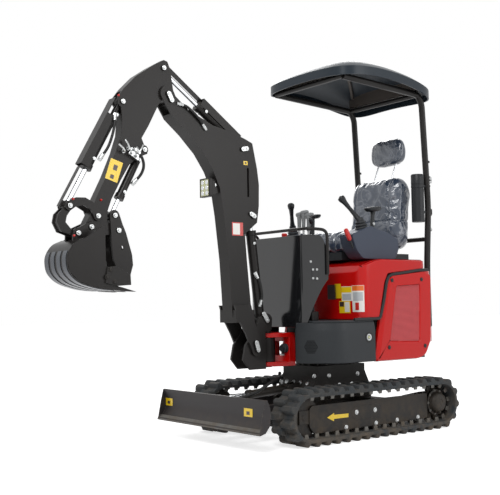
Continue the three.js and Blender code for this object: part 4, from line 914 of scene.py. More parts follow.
def make_side_panel(label, hand):
    """Rays from the grille's middle carry the panel's rim inwards to the grille's recess."""
    outer, inner = rounded(PANEL, 26, 6), rounded(GRILLE, 12, 4)
    centre = np.array(GRILLE_MIDDLE)
    angles = np.sort(np.concatenate([np.arctan2(*(p - centre).T[::-1]) for p in (outer, inner)]))
    rim, hole = ray_hits(outer, centre, angles), ray_hits(inner, centre, angles)
    ahead = unit(np.roll(rim, -1, 0) - np.roll(rim, 1, 0))
    normal = np.stack([ahead[:, 1], -ahead[:, 0]], 1)
    lean = 5 + 17 * np.clip(normal[:, :1], 0, 1) ** 2
    levels = [(rim, 386), (rim, 401), (rim - normal * 1.0, 405), (rim - normal * lean, 418),
              (rim - normal * (lean + 4), PANEL_FACE), (hole + (rim - hole) * 0.06, PANEL_FACE),
              (hole + (rim - hole) * 0.03, 417),
              (hole, 411), (hole, 408)]
    wall = rings_mesh([at(p[:, 0], y * hand, p[:, 1]) for p, y in levels])
    made = piece(f"panel_{label}", *wall, "upper_body", RED_PAINT, angle=22)
    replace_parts(made, f"side_panel_{label}")
    back = [at(*p) for p in ((x, 408.6 * hand, z) for x, z in inner)]
    piece(f"grille_back_{label}", *plate_mesh(back, -0.0004, 0.0004, 0.0001), "upper_body", GRILLE_BACK)
    bars = []
    box = np.array(GRILLE, float)
    for axis in (0, 1):
        for value in np.arange(box[:, axis].min() + GRILLE_STEP, box[:, axis].max(), GRILLE_STEP):
            a, b = box, np.roll(box, -1, 0)
            cut = (a[:, axis] - value) * (b[:, axis] - value) < 0
            part = ((value - a[:, axis]) / (b[:, axis] - a[:, axis] + 1e-9))[cut]
            ends = (a[cut] + (b[cut] - a[cut]) * part[:, None])[:, 1 - axis]
            line = np.full((2, 2), value)
            line[:, 1 - axis] = np.sort(ends)
            bars.append(tube_mesh(at(line[:, 0], (413 + axis * 0.8) * hand, line[:, 1]), GRILLE_WIRE, 4))
    piece(f"grille_mesh_{label}", *together(bars), "upper_body", GRILLE_MESH, smooth=False)
    plugs = [lathe_mesh([(-0.001, 0), (-0.001, 0.0115), (0.002, 0.0115), (0.0045, 0.009), (0.0055, 0.004),
                         (0.0056, 0)], at(x, PANEL_FACE * hand, z), (0, hand, 0), 24) for x,
                         z in PANEL_PLUGS]
    piece(f"panel_plugs_{label}", *together(plugs), "upper_body", RUBBER_AND_OPENING_SHADE)
    route = at(*np.array(PANEL_SEAL).T * np.array([1, hand, 1])[:, None])
    piece(f"panel_seal_{label}", *tube_mesh(curve_through(route, 90), 0.0088, 14), "upper_body",
          RUBBER_AND_OPENING_SHADE)


t = np.linspace(0, 1, 40)
HOOD_LINE = plan_line(np.concatenate([np.full(30, 82.0), 82 - 70 * t**2, [-50]]),
                      np.concatenate([np.linspace(-150, 340, 30), 342 + 140 * t - 70 * t**2, [412]]))


def hood_skin(u, v, lift):
    """The hood's front and its rounded corner, leaning back towards its foot; u is y across the front."""
    shape = on_line(HOOD_LINE)(np.asarray(u) + 150, v, lift)
    front = at(75 + 7 * (np.asarray(v, float) - 646) / 266 + lift, 0, 0)[..., 0]
    shape[..., 0] = np.minimum(shape[..., 0], front)
    return shape


def make_hood_panels():
    """Blank stickers on the hood: each its corners (y, z), carried on the hood's skin."""
    panels = [("maroon", 130, 201, 762, 846, DARK_PANEL), ("amber", 193, 240, 768, 850, YELLOW_PANEL),
              ("notice", 243, 330, 752, 834, WHITE_PANEL), ("lower", 224, 312, 684, 752, YELLOW_PANEL),
              ("tall", 330, 410, 690, 838, WHITE_PANEL)]
    for name, y0, y1, z0, z1, paint in panels:
        sheet = skin_mesh(hood_skin, np.linspace(y0, y1, 14), [z0, z1], -1.0, 1.0)
        piece(f"sticker_{name}", *sheet, "upper_body", paint)
    marks = [("notice_head", 246, 327, 800, 831, YELLOW_PANEL),
             ("notice_edge", 243, 248, 752, 834, YELLOW_PANEL),
             ("tall_head", 332, 408, 808, 836, ORANGE_PANEL), ("tall_red", 352, 380, 700, 742, RED_PANEL),
             ("tall_grey", 338, 402, 752, 800, GREY_PANEL), ("lower_head", 228, 262, 720, 748, DARK_PANEL),
             ("lower_box", 268, 306, 690, 746, WHITE_PANEL), ("notice_box", 252, 322, 758, 792, GREY_PANEL)]
    for name, y0, y1, z0, z1, paint in marks:
        sheet = skin_mesh(hood_skin, np.linspace(y0, y1, 8), [z0, z1], 0.4, 1.5)
        piece(f"sticker_{name}", *sheet, "upper_body", paint)


def make_guard():
    """One bent sheet: a flat face with two swept-back wings, their lower edge rising to the rear."""
    half = np.array([(356, 0), (356, 215), (332, 256), (226, 296)], float)
    line = curve_2d(np.vstack([half[:0:-1] * (1, -1), half]), 16, 7)
    p, normal, _ = plan_line(line[:, 0], line[:, 1])
    low_x, low_z = np.array([(220, 878), (232, 868), (262, 824), (292, 765), (312, 722), (325, 690),
                             (336, 650),
                             (345, 616), (352, 610)]).T
    wing = np.abs(p[:, 1]) > 200
    bottom = np.where(wing, np.interp(p[:, 0], low_x, low_z), 610)
    top = np.where(wing, np.interp(p[:, 0], (222, 244, 256, 270, 330), (1012, 1082, 1108, 1119, 1122)),
                   1122)
    section = [(0, bottom + 2), (0, top - 2), (-1.5, top), (-4.5, top), (-6, top - 2), (-6, bottom + 2),
               (-4.5, bottom), (-1.5, bottom)]
    rings = np.stack([at(p[:, 0] + normal[:, 0] * d, p[:, 1] + normal[:, 1] * d, z) for d, z in section], 1)
    foot = at(*np.array([(296, -200, 650), (353, -200, 650), (353, 200, 650), (296, 200, 650)]).T)
    parts = [rings_mesh(rings), plate_mesh(foot, -0.0035, 0.004, 0.001)]
    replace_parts(piece("guard", *together(parts), "upper_body", GUARD_PAINT, angle=30), "front_guard")
    for label, hand in SIDES:
        out = np.array([0.353, 0.936 * hand, 0])
        wing_y = lambda x: hand * (256 + (332 - x) / 106 * 40)
        plate = at(*np.array([(318, wing_y(318), 938), (284, wing_y(284), 938), (284, wing_y(284), 868),
                              (306, wing_y(306), 868), (318, wing_y(318), 900)]).T)
        normal_up = unit(np.cross(plate[1] - plate[0], plate[2] - plate[1]))
        flip = 1 if normal_up @ out > 0 else -1
        strap = plate_mesh(plate, *sorted((0.0005 * flip, 0.004 * flip)))
        piece(f"wing_strap_{label}", *strap, "upper_body", GUARD_PAINT)
        spots = [at(x, wing_y(x), z) + out * 0.004 for x, z in ((313, 928), (291, 928), (313, 880),
                                                                (291, 878))]
        spots += [at(323, wing_y(323), 972) + out * 0.0005]
        piece(f"wing_bolts_{label}", *together(bolt_meshes(spots, out, 0.0045, 0.004)), "upper_body", ZINC)


def curve_2d(points, radius, steps):
    """An open line with its inner corners rounded."""
    p = np.asarray(points, float)
    whole = rounded(np.vstack([p, p[-1] + (1, 0), p[0] + (1, 0)]),
                    [0.01] + [radius] * (len(p) - 2) + [0.01] * 3, steps)
    kept = whole[steps:(len(p)) * (steps + 1) - steps]
    dense = [np.linspace(a, b, 8, endpoint=False) if np.linalg.norm(b - a) > 20 else a[None]
             for a, b in zip(kept[:-1], kept[1:])]
    return np.vstack(dense + [kept[-1:]])


def bent(corners, bend, steps=8):
    """A path through corner points whose bends are quadratic curves starting bend before each."""
    p = np.asarray(corners, float)
    out = [p[:1]]
    for k in range(1, len(p) - 1):
        back, ahead = p[k - 1] - p[k], p[k + 1] - p[k]
        lb, la = np.linalg.norm(back), np.linalg.norm(ahead)
        cut = min(bend, lb / 2.2, la / 2.2)
        a, b = p[k] + back / lb * cut, p[k] + ahead / la * cut
        s = np.linspace(0, 1, steps + 1)[:, None]
        out.append((1 - s) ** 2 * a + 2 * s * (1 - s) * p[k] + s**2 * b)
    return np.vstack(out + [p[-1:]])


RAIL = [(236, 302.2, 900), (236, 302.2, 1148), (344, 268, 1156), (344, -268, 1156), (236, -302.2, 1148),
        (236, -302.2, 900)]
LEVERS = ((90, 104, 1258), (124, 142, 1266), (160, 184, 1248), (196, 222, 1216))  # foot y, top y, top z


def make_rail_and_levers():
    """Hand rail over the guard, the lever bank with its boots and grips, and the red-knobbed lever."""
    rail = bent(RAIL, 40)
    made = piece("rail", *tube_mesh(at(*rail.T), 0.009, 16), "upper_body", BLACK_PAINT)
    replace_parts(made, "handrail")
    base = rounded([(236, -60), (292, -60), (292, 226), (236, 226)], 10)
    block = plate_mesh(at(base[:, 0], base[:, 1], 671), -0.0245, 0.025, 0.003)
    made = piece("lever_base", *block, "upper_body", BLACK_PAINT)
    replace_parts(made, "travel_levers")
    rods, grips, dark = [], [], []
    for k, (foot, y, top) in enumerate(LEVERS):
        start, end = at(266, foot, 690), at(262, y, top)
        way = end - start
        long = np.linalg.norm(way)
        rods.append(lathe_mesh([(0, 0), (0, 0.0065), (long - 0.08, 0.0065), (long - 0.08, 0)], start, way,
                               12))
        boot = [(0, 0), (0, 0.022), (0.004, 0.022)]
        for j in range(4):
            boot += [(0.006 + 0.01 * j, 0.020 - 0.002 * j), (0.011 + 0.01 * j, 0.015 - 0.002 * j)]
        dark.append(lathe_mesh(boot + [(0.06, 0.0075), (0.06, 0)], start, way, 20))
        if k == 3:
            lean = at(300, y + 22, top - 4) - at(252, y - 20, top - 18)
            dark.append(lathe_mesh([(0, 0), (0.001, 0.009), (0.006, 0.0125), (0.03, 0.013), (0.052, 0.011),
                                    (0.066, 0.007), (0.069, 0)], at(256, y - 22, top - 18), lean, 24))
            dark.append(lathe_mesh([(long - 0.09, 0), (long - 0.09, 0.008), (long - 0.01, 0.008),
                                    (long - 0.01, 0)],
                                   start, way, 16))
        else:
            grips.append(lathe_mesh([(long - 0.10, 0), (long - 0.10, 0.0085), (long - 0.096, 0.0105),
                                     (long - 0.07, 0.0108), (long - 0.035, 0.0125), (long - 0.022, 0.0145),
                                     (long - 0.008, 0.0140), (long, 0.009), (long + 0.002, 0)], start, way,
                                     24))
            grips.append(lathe_mesh([(-0.004, 0), (-0.003, 0.010), (0.004, 0.014), (0.03, 0.0135),
                                     (0.044, 0.009),
                                     (0.047, 0)], at(268, y - 14, top - 12), (-0.3, 0.9, 0.12), 24))
    piece("lever_rods", *together(rods), "upper_body", ZINC)
    piece("lever_grips", *together(grips), "upper_body", GRIP_RUBBER)
    piece("lever_boots", *together(dark), "upper_body", RUBBER_BOOT)
    knob = lathe_mesh([(0, 0), (0, 0.007), (0.012, 0.007), (0.016, 0.015), (0.03, 0.017), (0.036, 0.013),
                       (0.039, 0)],
                      at(282, -8, 1112), (0, 0, 1), 24)
    stalk = tube_mesh(at(*np.array([(270, -10, 700), (276, -9, 950), (282, -8, 1114)]).T), 0.0045, 10)
    piece("park_lever_knob", *knob, "upper_body", RED_PLASTIC)
    piece("park_lever_stalk", *stalk, "upper_body", ZINC)


STICK_FOOT, STICK_TIP, STICK_BOOT = (-36, 298, 1204), (45, 218, 1350), (-46, 302, 1134)
ARM_PAD = (-174, 262, 1288)


def make_controls():
    """Bellows, sticks, arm pads and the red lock lever on the consoles."""
    for label, hand in SIDES:
        profile = [(0, 0), (0, 0.044), (0.01, 0.0445)]
        for k in range(4):
            profile += [(0.016 + 0.017 * k, 0.0445 - 0.0045 * k), (0.020 + 0.017 * k, 0.0435 - 0.0045 * k),
                        (0.026 + 0.017 * k, 0.0345 - 0.0045 * k)]
        profile += [(0.090, 0.021), (0.096, 0.017), (0.098, 0)]
        places = (STICK_FOOT, STICK_TIP, STICK_BOOT, ARM_PAD)
        start, end, base, rest = (at(x, y * hand, z) for x, y, z in places)
        boot = lathe_mesh(profile, base, (0.16, -0.10 * hand, 1), 40)
        way, long = end - start, np.linalg.norm(end - start)
        grip = lathe_mesh([(0, 0), (0, 0.021), (0.008, 0.0215), (0.02, 0.017), (0.06, 0.0125),
                           (long * 0.55, 0.0115),
                           (long * 0.78, 0.0145), (long - 0.02, 0.0205), (long - 0.006, 0.0215),
                           (long, 0.018),
                           (long + 0.0015, 0)], start, way, 32)
        switch = lathe_mesh([(0, 0), (0, 0.0075), (0.004, 0.0075), (0.006, 0.005), (0.006, 0)],
                            end, way, 20)
        made = piece(f"joystick_grip_{label}", *together([grip, switch]), "upper_body", CONTROL_PLASTIC)
        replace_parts(made, f"joystick_{label}")
        piece(f"joystick_boot_{label}", *boot, "upper_body", RUBBER_BOOT, angle=50)
        pad = lathe_mesh([(-0.016, 0), (-0.013, 0.045), (-0.006, 0.058), (0.004, 0.064), (0.011, 0.060),
                          (0.014, 0.045), (0.015, 0)], rest, (0.10, 0, 1), 48)
        pad = (rest + (pad[0] - rest) * np.array([1, 0.6, 1]), pad[1])
        stem = tube_mesh(at(*np.array([(-160, 268 * hand, 1150), (-160, 268 * hand, 1210),
                                       (-168, 265 * hand, 1245),
                                       (-172, 262 * hand, 1276)]).T), [0.013, 0.013, 0.011, 0.016], 16)
        piece(f"arm_pad_{label}", *together([pad, stem]), "upper_body", CONTROL_PLASTIC, angle=45)
        piece(f"arm_pad_bolt_{label}",
              *together(bolt_meshes([at(-160, (268 + 13) * hand, 1200)], (0, hand, 0),
                                                             0.006, 0.004)), "upper_body", ZINC)
    lever = lathe_mesh([(0, 0), (0, 0.008), (0.006, 0.0125), (0.03, 0.0135), (0.060, 0.0130),
                        (0.070, 0.0105),
                        (0.074, 0)], at(96, 340, 1092), (0.46, 0, 0.86), 28)
    piece("lock_lever", *lever, "upper_body", RED_PLASTIC)
    stalk = tube_mesh(at(*np.array([(70, 334, 1052), (82, 338, 1068), (98, 340, 1096)]).T), 0.0065, 12)
    piece("lock_lever_stalk", *stalk, "upper_body", CONTROL_PLASTIC)


LENS = finish("lamp_lens", "c9cc9a", 0.12, coat=0.6, mottle=(80, 0.2), grain=(900, 0.2, 0.05))
GREY_PANEL = finish("grey_panel", "b9bdc0", 0.3, coat=0.4, mottle=(90, 0.25), grain=(800, 0.2, 0.01))
GRILLE_BACK = finish("grille_back", "4c0c0e", 0.5, mottle=(12, 0.4), grain=(500, 0.3, 0.1))
GRILLE_MESH = finish("grille_mesh", "d8585c", 0.34, metal=0.1, mottle=(30, 0.2), grain=(900, 0.2, 0.02))
# Near-black: painted shade for the inside of the cowl's vent holes.
VENT_HOLE_SHADE = finish("vent_hole_painted_shade", "060606", 0.8, specular=0.1, grain=(900, 0.2, 0.05))
GRIP_RUBBER = finish("grip_rubber", "7d7f80", 0.55, mottle=(40, 0.15), grain=(1400, 0.2, 0.1))
for word, sign in SIDES:
    make_cowl(word, sign)
    make_side_panel(word, sign)
make_hood_panels()
make_guard()
make_rail_and_levers()
make_controls()


# ---- seat, canopy and post fittings -------------------------------------------------------------
def settle(verts, faces, cap, voxel=0.007):
    """Remesh a closed form, blow it up a little as cloth, and keep each point within cap of its start."""
    mesh = bpy.data.meshes.new("pad_start")
    mesh.from_pydata(np.asarray(verts, float).tolist(), [], faces)
    work = bmesh.new()
    work.from_mesh(mesh)
    bmesh.ops.recalc_face_normals(work, faces=work.faces)
    work.to_mesh(mesh)
    work.free()
    pad = bpy.data.objects.new("pad_start", mesh)
    scene.collection.objects.link(pad)
    remesh = pad.modifiers.new("remesh", "REMESH")
    remesh.mode = "VOXEL"
    remesh.voxel_size = voxel
    start, polygons = evaluated(pad)
    pad.modifiers.remove(remesh)
    pad.data = bpy.data.meshes.new("pad_cloth")
    pad.data.from_pydata(start.tolist(), [], polygons)
    cloth = pad.modifiers.new("cloth", "CLOTH")
    cloth.settings.use_pressure = True
    cloth.settings.uniform_pressure_force = 4
    cloth.settings.effector_weights.gravity = 0
    cloth.settings.tension_stiffness = 12
    cloth.settings.bending_stiffness = 0.4
    cloth.point_cache.frame_start, cloth.point_cache.frame_end = 1, 20
    for step in range(1, 21):
        scene.frame_set(step)
    moved, _ = evaluated(pad)
    scene.frame_set(1)
    bpy.data.objects.remove(pad)
    step = moved - start
    far = np.linalg.norm(step, axis=1, keepdims=True)
    return start + step * np.minimum(1, cap / np.maximum(far, 1e-9)), polygons


def evaluated(thing):
    """Points and faces of an object after its modifiers."""
    result = thing.evaluated_get(bpy.context.evaluated_depsgraph_get())
    mesh = result.to_mesh()
    verts = np.empty(len(mesh.vertices) * 3)
    mesh.vertices.foreach_get("co", verts)
    polygons = [list(face.vertices) for face in mesh.polygons]
    result.to_mesh_clear()
    return verts.reshape(-1, 3), polygons


def bolster(side, half, shrink, corner, count=26):
    """A side outline carried across; its size follows a superellipse of power corner, like a loaf."""
    outline = rounded(side, 34, 5)
    middle = outline.mean(0)
    y = np.sin(np.linspace(-np.pi / 2, np.pi / 2, count))
    rings = []
    for part in y:
        draw = (1 - shrink) * max(1 - abs(part) ** corner, 0.002) ** (1 / corner)
        p = middle + (outline - middle) * draw
        rings.append(at(p[:, 0], part * half, p[:, 1]))
    return rings_mesh(rings)


def wrinkle(verts, faces, depth, scale, seams=()):
    """Push points along their normals: ridged waves warped by each other, then sewn channels.

    A ridge is one less the size of a sine, sharpened; a channel is a narrow bell across a plane."""
    mesh = bpy.data.meshes.new("wrinkle")
    mesh.from_pydata(verts.tolist(), [], faces)
    normal = np.empty(len(mesh.vertices) * 3)
    mesh.vertices.foreach_get("normal", normal)
    normal = normal.reshape(-1, 3)
    bpy.data.meshes.remove(mesh)
    waves = rng.normal(size=(7, 3)) * scale
    phase = rng.uniform(0, 6.28, 7)
    warp = np.sin(verts @ (waves[:3].T * 0.35) + phase[:3])
    ridge = (1 - np.abs(np.sin(verts @ waves[3:].T + phase[3:] + warp.sum(1, keepdims=True) * 1.4))) ** 3
    push = depth * (ridge.mean(1) - 0.2)
    for axis, value, width, deep in seams:
        place = np.abs(verts[:, axis]) if value >= 0 and axis == 1 else verts[:, axis]
        push -= deep * np.exp(-((place - value) / width) ** 2)
    return verts + normal * push[:, None]


def make_pad(name, node_name, side, half, cap, seams, shrink=0.04, depth=0.004, corner=5):
    """A padded piece from its side outline: blown up, wrinkled, sewn along its seams and smoothed.

    seams are (axis, place, width, depth) in metres; cap is how far the cloth may move."""
    verts, faces = settle(*bolster(side, half, shrink, corner), cap)
    verts = wrinkle(verts, faces, depth, WAVES, seams)
    pad = piece(name, verts, faces, "upper_body", FILM_VINYL, angle=180)
    soft = pad.modifiers.new("subdivision", "SUBSURF")
    soft.levels = soft.render_levels = 1
    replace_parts(pad, node_name)


# The creases' third value paints a pale highlight along the film's crease ridges.
FILM_VINYL = finish("film_vinyl", "343f50", 0.22, specular=0.5, coat=0.8, grain=(700, 0.4, 0.08),
                    creases=(3.4, 0.32, 0.16), mottle=(7, 0.4))
WAVES = 11
CUSHION_SIDE = [(60, 1037), (72, 1080), (50, 1140), (-60, 1150), (-330, 1122), (-416, 1118), (-418, 1037)]
BACKREST_SIDE = [(-430, 1037), (-424, 1150), (-438, 1260), (-454, 1440), (-478, 1530), (-520, 1548),
                 (-568, 1530),
                 (-590, 1440), (-580, 1250), (-565, 1100), (-554, 1037)]
HEAD_PAD_SIDE = [(-566, 1604), (-556, 1690), (-574, 1782), (-620, 1790), (-650, 1700), (-636, 1606)]
make_pad("cushion", "seat_cushion", CUSHION_SIDE, 225, 0.018, [(1, 0.150, 0.006, 0.007)])
make_pad("backrest", "seat_back", BACKREST_SIDE, 224, 0.018,
         [(1, 0.140, 0.006, 0.008), (2, 1.24, 0.006, 0.005)])
make_pad("head_pad", "headrest", HEAD_PAD_SIDE, 132, 0.014, [(1, 0.096, 0.004, 0.004)], depth=0.0025,
         corner=3.5)
rods = [tube_mesh(at(*np.array([(-528, y, 1470), (-560, y, 1548), (-598, y, 1640)]).T), 0.005,
                  14) for y in (75, -75)]
piece("head_pad_rods", *together(rods), "upper_body", CHROME)


ROOF_MID, ROOF_LONG, ROOF_WIDE, ROOF_WALL = -263, 402, 372, 7
RIM_MIDDLE, RIM_TILT, RIM_ARCH, RIM_CROWN = 1999.5, 29.5, 46, 20
ROOF_SKIRT, ROOF_RISE, ROOF_POWER = 72, 50, 6
POST = [(-606, 294, 590.3), (-603, 294, 946), (-629, 294, 1322), (-594, 294, 1960), (-560, 294, 2012),
        (80, 294, 2040)]
POST_RADIUS, POST_BEND, POST_Y = 0.019, 90, 294
CROSS_BARS = (((80, 2040), 0.015), ((-560, 2012), 0.015), ((-616, 1124), 0.014))  # (x, z) and radius


def roof_rim(a, b):
    """Height of the roof's rim at the share a of its half length and b of its half width."""
    return RIM_MIDDLE + RIM_TILT * a + RIM_ARCH * (1 - a * a) + RIM_CROWN * (1 - b * b)


def roof_dome(r):
    """How far the dome stands above the rim's height, r being 0 at its middle and 1 at its edge."""
    return ROOF_SKIRT + ROOF_RISE * (1 - r * r) - 22 * r**8


def under_roof(x, y):
    """Height of the roof's inner face over a place in plan."""
    a, b = (x - ROOF_MID) / (ROOF_LONG - ROOF_WALL), y / (ROOF_WIDE - ROOF_WALL)
    r = (np.abs(a) ** ROOF_POWER + np.abs(b) ** ROOF_POWER) ** (1 / ROOF_POWER)
    return roof_rim(a, b) + roof_dome(r) - ROOF_WALL


def make_canopy():
    """Posts and bars as bent tubes, and the roof as a domed superellipse with a turned-down rim."""
    tubes = []
    for _, hand in SIDES:
        path = bent(POST, POST_BEND)
        tubes.append(tube_mesh(at(path[:, 0], path[:, 1] * hand, path[:, 2]), POST_RADIUS, 28))
    for (x, z), r in CROSS_BARS:
        tubes.append(tube_mesh(at(*np.array([(x, -POST_Y, z), (x, POST_Y, z)]).T), r, 20))
    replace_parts(piece("canopy_posts", *together(tubes), "upper_body", BLACK_PAINT), "canopy_frame")
    spread = np.linspace(0, 2 * np.pi, 160, endpoint=False)
    k = (np.abs(np.cos(spread)) ** ROOF_POWER + np.abs(np.sin(spread)) ** ROOF_POWER) ** (-1 / ROOF_POWER)
    rings = []
    outer = [(r, 0, 0) for r in np.linspace(0.002, 1, 26)]
    inner = [(r, ROOF_WALL, ROOF_WALL) for r in np.linspace(1, 0.002, 22)]
    for r, inset, drop in outer + [(1, 0, None), (1, ROOF_WALL, None)] + inner:
        a, b = r * k * np.cos(spread), r * k * np.sin(spread)
        z = roof_rim(a, b) + (0 if drop is None else roof_dome(r) - drop)
        rings.append(at(ROOF_MID + (ROOF_LONG - inset) * a, (ROOF_WIDE - inset) * b, z))
    ribs = []
    across = np.linspace(-285, 285, 40)
    for x, low in ((63, 2057), (-560, 2030)):
        corners = [(x - 15, low), (x + 15, low), (x + 15, None), (x - 15, None)]
        ribs.append(rings_mesh(np.stack([at(px, across, under_roof(px, across) + 1 if z is None else z)
                                         for px, z in corners], 1)))
    s = np.linspace(0, 1, 24)
    x, y = 40 - 570 * s, 240 - 480 * s
    brace = tube_mesh(at(x, y, under_roof(x, y) - 10), 0.011, 12)
    roof = piece("roof", *together([rings_mesh(rings)]), "upper_body", ROOF_PLASTIC, angle=40)
    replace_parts(roof, "canopy_roof")
    piece("roof_ribs", *together(ribs + [brace]), "upper_body", ROOF_RIB)


def make_post_fittings():
    """The document tube with its cap and clip, and the bracket plates behind the post."""
    tube = lathe_mesh([(0, 0), (0, 0.036), (0.003, 0.0385), (0.205, 0.0385), (0.206, 0.0365),
                       (0.209, 0.0365),
                       (0.210, 0.039), (0.228, 0.039), (0.229, 0.0375), (0.232, 0.0375), (0.233, 0.039),
                       (0.288, 0.039), (0.293, 0.036), (0.294, 0)], at(-550, 281, 1226), (0, 0, 1), 48)
    clip = [plate_mesh(at(*np.array([(-602, 281, z), (-560, 281, z), (-560, 300, z), (-602, 300, z)]).T),
                       -0.007, 0.007, 0.001) for z in (1449, 1290)]
    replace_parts(piece("manual_tube", *together([tube] + clip), "upper_body", CONTROL_PLASTIC),
                "document_tube")
    for label, hand in SIDES:
        parts = []
        for z, high, deep in ((1488, 34, 663), (1285, 40, 661), (1180, 16, 655)):
            outline = rounded([(-622, z - high * 1.3), (-deep + 14, z - high * 0.55),
                               (-deep, z - high * 0.2),
                               (-deep, z + high * 0.6), (-622, z + high)], 6)
            parts.append(plate_mesh(at(outline[:, 0], 296 * hand, outline[:, 1]), -0.003, 0.003, 0.0008))
        for z in (1450, 1600):
            parts.append(lathe_mesh([(-0.006, 0), (-0.006, 0.0215), (0.006, 0.0215), (0.006, 0)],
                                    at(-622, 294 * hand, z), (0.04, 0, 1), 28))
        piece(f"post_brackets_{label}", *together(parts), "upper_body", BLACK_PAINT)
        places = [at(-652, 299.5 * hand, z) for z in (1500, 1478)] + [at(-640, 299.5 * hand, 1186)]
        bolts = bolt_meshes(places, (0, hand, 0), 0.0065, 0.005)
        piece(f"post_bolts_{label}", *together(bolts), "upper_body", ZINC)


def make_rear_details():
    """Latch, hinges, vents and bolts on the rear cover and the counterweight."""
    # The vent slots are not cut: each is a thin near-black strip on the cover, painted shade for the slot's
    # dark inside.
    slots = []
    for k in range(7):
        z = 700 + 18 * k
        slots.append(plate_mesh(at(*np.array([(-575.5, -110, z), (-575.5, 110, z), (-575.5, 110, z + 7),
                                              (-575.5, -110, z + 7)]).T), -0.0015, 0.0015, 0.0005))
    piece("rear_vents", *together(slots), "upper_body", RUBBER_AND_OPENING_SHADE)
    latch = rounded([(-34, 858), (34, 858), (34, 882), (-34, 882)], 8)
    piece("rear_latch", *plate_mesh(at(-576, latch[:, 0], latch[:, 1]), -0.003, 0.005, 0.002), "upper_body",
          CONTROL_PLASTIC)
    barrel = lathe_mesh([(0, 0), (0, 0.008), (0.006, 0.008), (0.007, 0.006), (0.007, 0)],
                        at(-580, -18, 870),
                        (-1, 0, 0), 24)
    piece("rear_lock", *barrel, "upper_body", ZINC)
    hinges = [lathe_mesh([(-0.03, 0), (-0.03, 0.008), (0.03, 0.008), (0.03, 0)], at(-566, -322, z),
                         (0, 0, 1), 20)
              for z in (670, 850)]
    piece("rear_hinges", *together(hinges), "upper_body", BLACK_PAINT)
    places = [at(-634.5, y, 545) for y in (-180, 180)] + [at(-616, y, 470) for y in (-190, 0, 190)]
    bolts = bolt_meshes(places, (-1, 0, 0), 0.012, 0.008)
    piece("counterweight_bolts", *together(bolts), "upper_body", ZINC)


ROOF_RIB = finish("roof_rib", "4b4540", 0.5, mottle=(5, 0.3), grain=(800, 0.4, 0.05))
make_canopy()
make_post_fittings()
make_rear_details()


# ---- boom, arm and bucket: rods, pins, plates, hoses and fittings ---------------------------------
PINS = {"blade_base": (290, 262), "blade_rod": (748, 232), "foot": (562, 492), "post": (480, 651),
        "boom_rod": (549, 1231), "arm_base": (596, 1606), "tip": (1107, 1848), "arm_rod": (1126, 1984),
        "bucket_base": (1372, 1776), "rocker": (1522, 1187), "bucket": (1561, 1131), "link": (1675, 1230),
        "ear": (1633, 1099), "thumb": (1408, 1120), "thumb_rod": (1430, 1194), "thumb_base": (1247, 1542)}
BOOM_SIDE, DIPPER_SIDE, BUCKET_SIDE = 44, 30, 120


def along(base, eye):
    """Places on a cylinder from its base pin: s along it, off across it in the side view, y to the left."""
    base, eye = np.array(PINS[base], float), np.array(PINS[eye], float)
    long = float(np.linalg.norm(eye - base))
    ahead = (eye - base) / long

    def place(s, off=0.0, y=0.0):
        s, off = np.asarray(s), np.asarray(off)
        return at(base[0] + ahead[0] * s - ahead[1] * off, y, base[1] + ahead[1] * s + ahead[0] * off)
    return place, long


def side_plate(outline, y0, y1, chamfer=0.6):
    """An outline in the side view (x, z) carried across from y0 to y1, its rims eased."""
    line = np.asarray(outline, float)
    half = abs(y1 - y0) / 2000
    return plate_mesh(at(line[:, 0], (y0 + y1) / 2, line[:, 1]), -half, half, chamfer / 1000)


def long_hole(a, b, radius, steps=12):
    """The outline of a bar with round ends from a to b in the side view."""
    a, b = np.asarray(a, float), np.asarray(b, float)
    turn = math.atan2(b[1] - a[1], b[0] - a[0]) + np.linspace(-np.pi / 2, np.pi / 2, steps)
    ends = [centre + radius * np.stack([np.cos(t), np.sin(t)], 1) for centre,
            t in ((b, turn), (a, turn + np.pi))]
    return np.vstack(ends)


def make_rod(label, base, eye, pin, half, radius, start, strips=()):
    """A chrome rod with its dark eye and collar; strips are (s0, s1, low, high, half width)."""
    place, long = along(base, eye)
    way, r, tail = place(1.0) - place(0.0), (radius - 0.4) / 1000, (long - pin) / 1000
    rod = lathe_mesh([(start / 1000, 0), (start / 1000, r), (tail, r), (tail, 0)], place(0.0), way, 32)
    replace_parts(piece(f"{label}_rod_chrome", *rod, f"{label}_rod", CHROME), f"{label}_cylinder_rod")
    e, h = (pin + 9) / 1000, half / 1000
    parts = [lathe_mesh([(-h, 0), (-h, e - 0.002), (0.002 - h, e), (h - 0.002, e), (h, e - 0.002), (h, 0)],
                        place(long), (0, 1, 0), 40),
             lathe_mesh([(tail - 0.012, 0), (tail - 0.012, r + 0.001), (tail - 0.006, r + 0.003),
                         (tail + 0.004, r + 0.003), (tail + 0.004, 0)], place(0.0), way, 32)]
    for s0, s1, low, high, wide in strips:
        parts.append(plate_mesh(place([s0, s1, s1, s0], [low, low, high, high]), -wide / 1000, wide / 1000,
                                0.0008))
    piece(f"{label}_rod_eye", *together(parts), f"{label}_rod", BLACK_PAINT)


def make_rods():
    """The five chrome rods; the arm's and the bucket's carry a guard strip beside the rod."""
    make_rod("blade", "blade_base", "blade_rod", 12, 18, 13, 100)
    make_rod("boom", "post", "boom_rod", 15, 20, 14, 91)
    arm, bucket = along("arm_base", "arm_rod")[1], along("bucket_base", "link")[1]
    make_rod("arm", "arm_base", "arm_rod", 15, 20, 14, 133,
             [(arm - 290, arm + 24, 33, 37, 20), (arm - 16, arm + 16, 10, 36.5, 18)])
    make_rod("bucket", "bucket_base", "link", 14, 15, 13, 214,
             [(bucket - 210, bucket + 20, 33, 37, 15), (bucket - 14, bucket + 14, 8, 36.5, 14)])
    make_rod("thumb", "thumb_base", "thumb_rod", 12, 15, 11, 63)


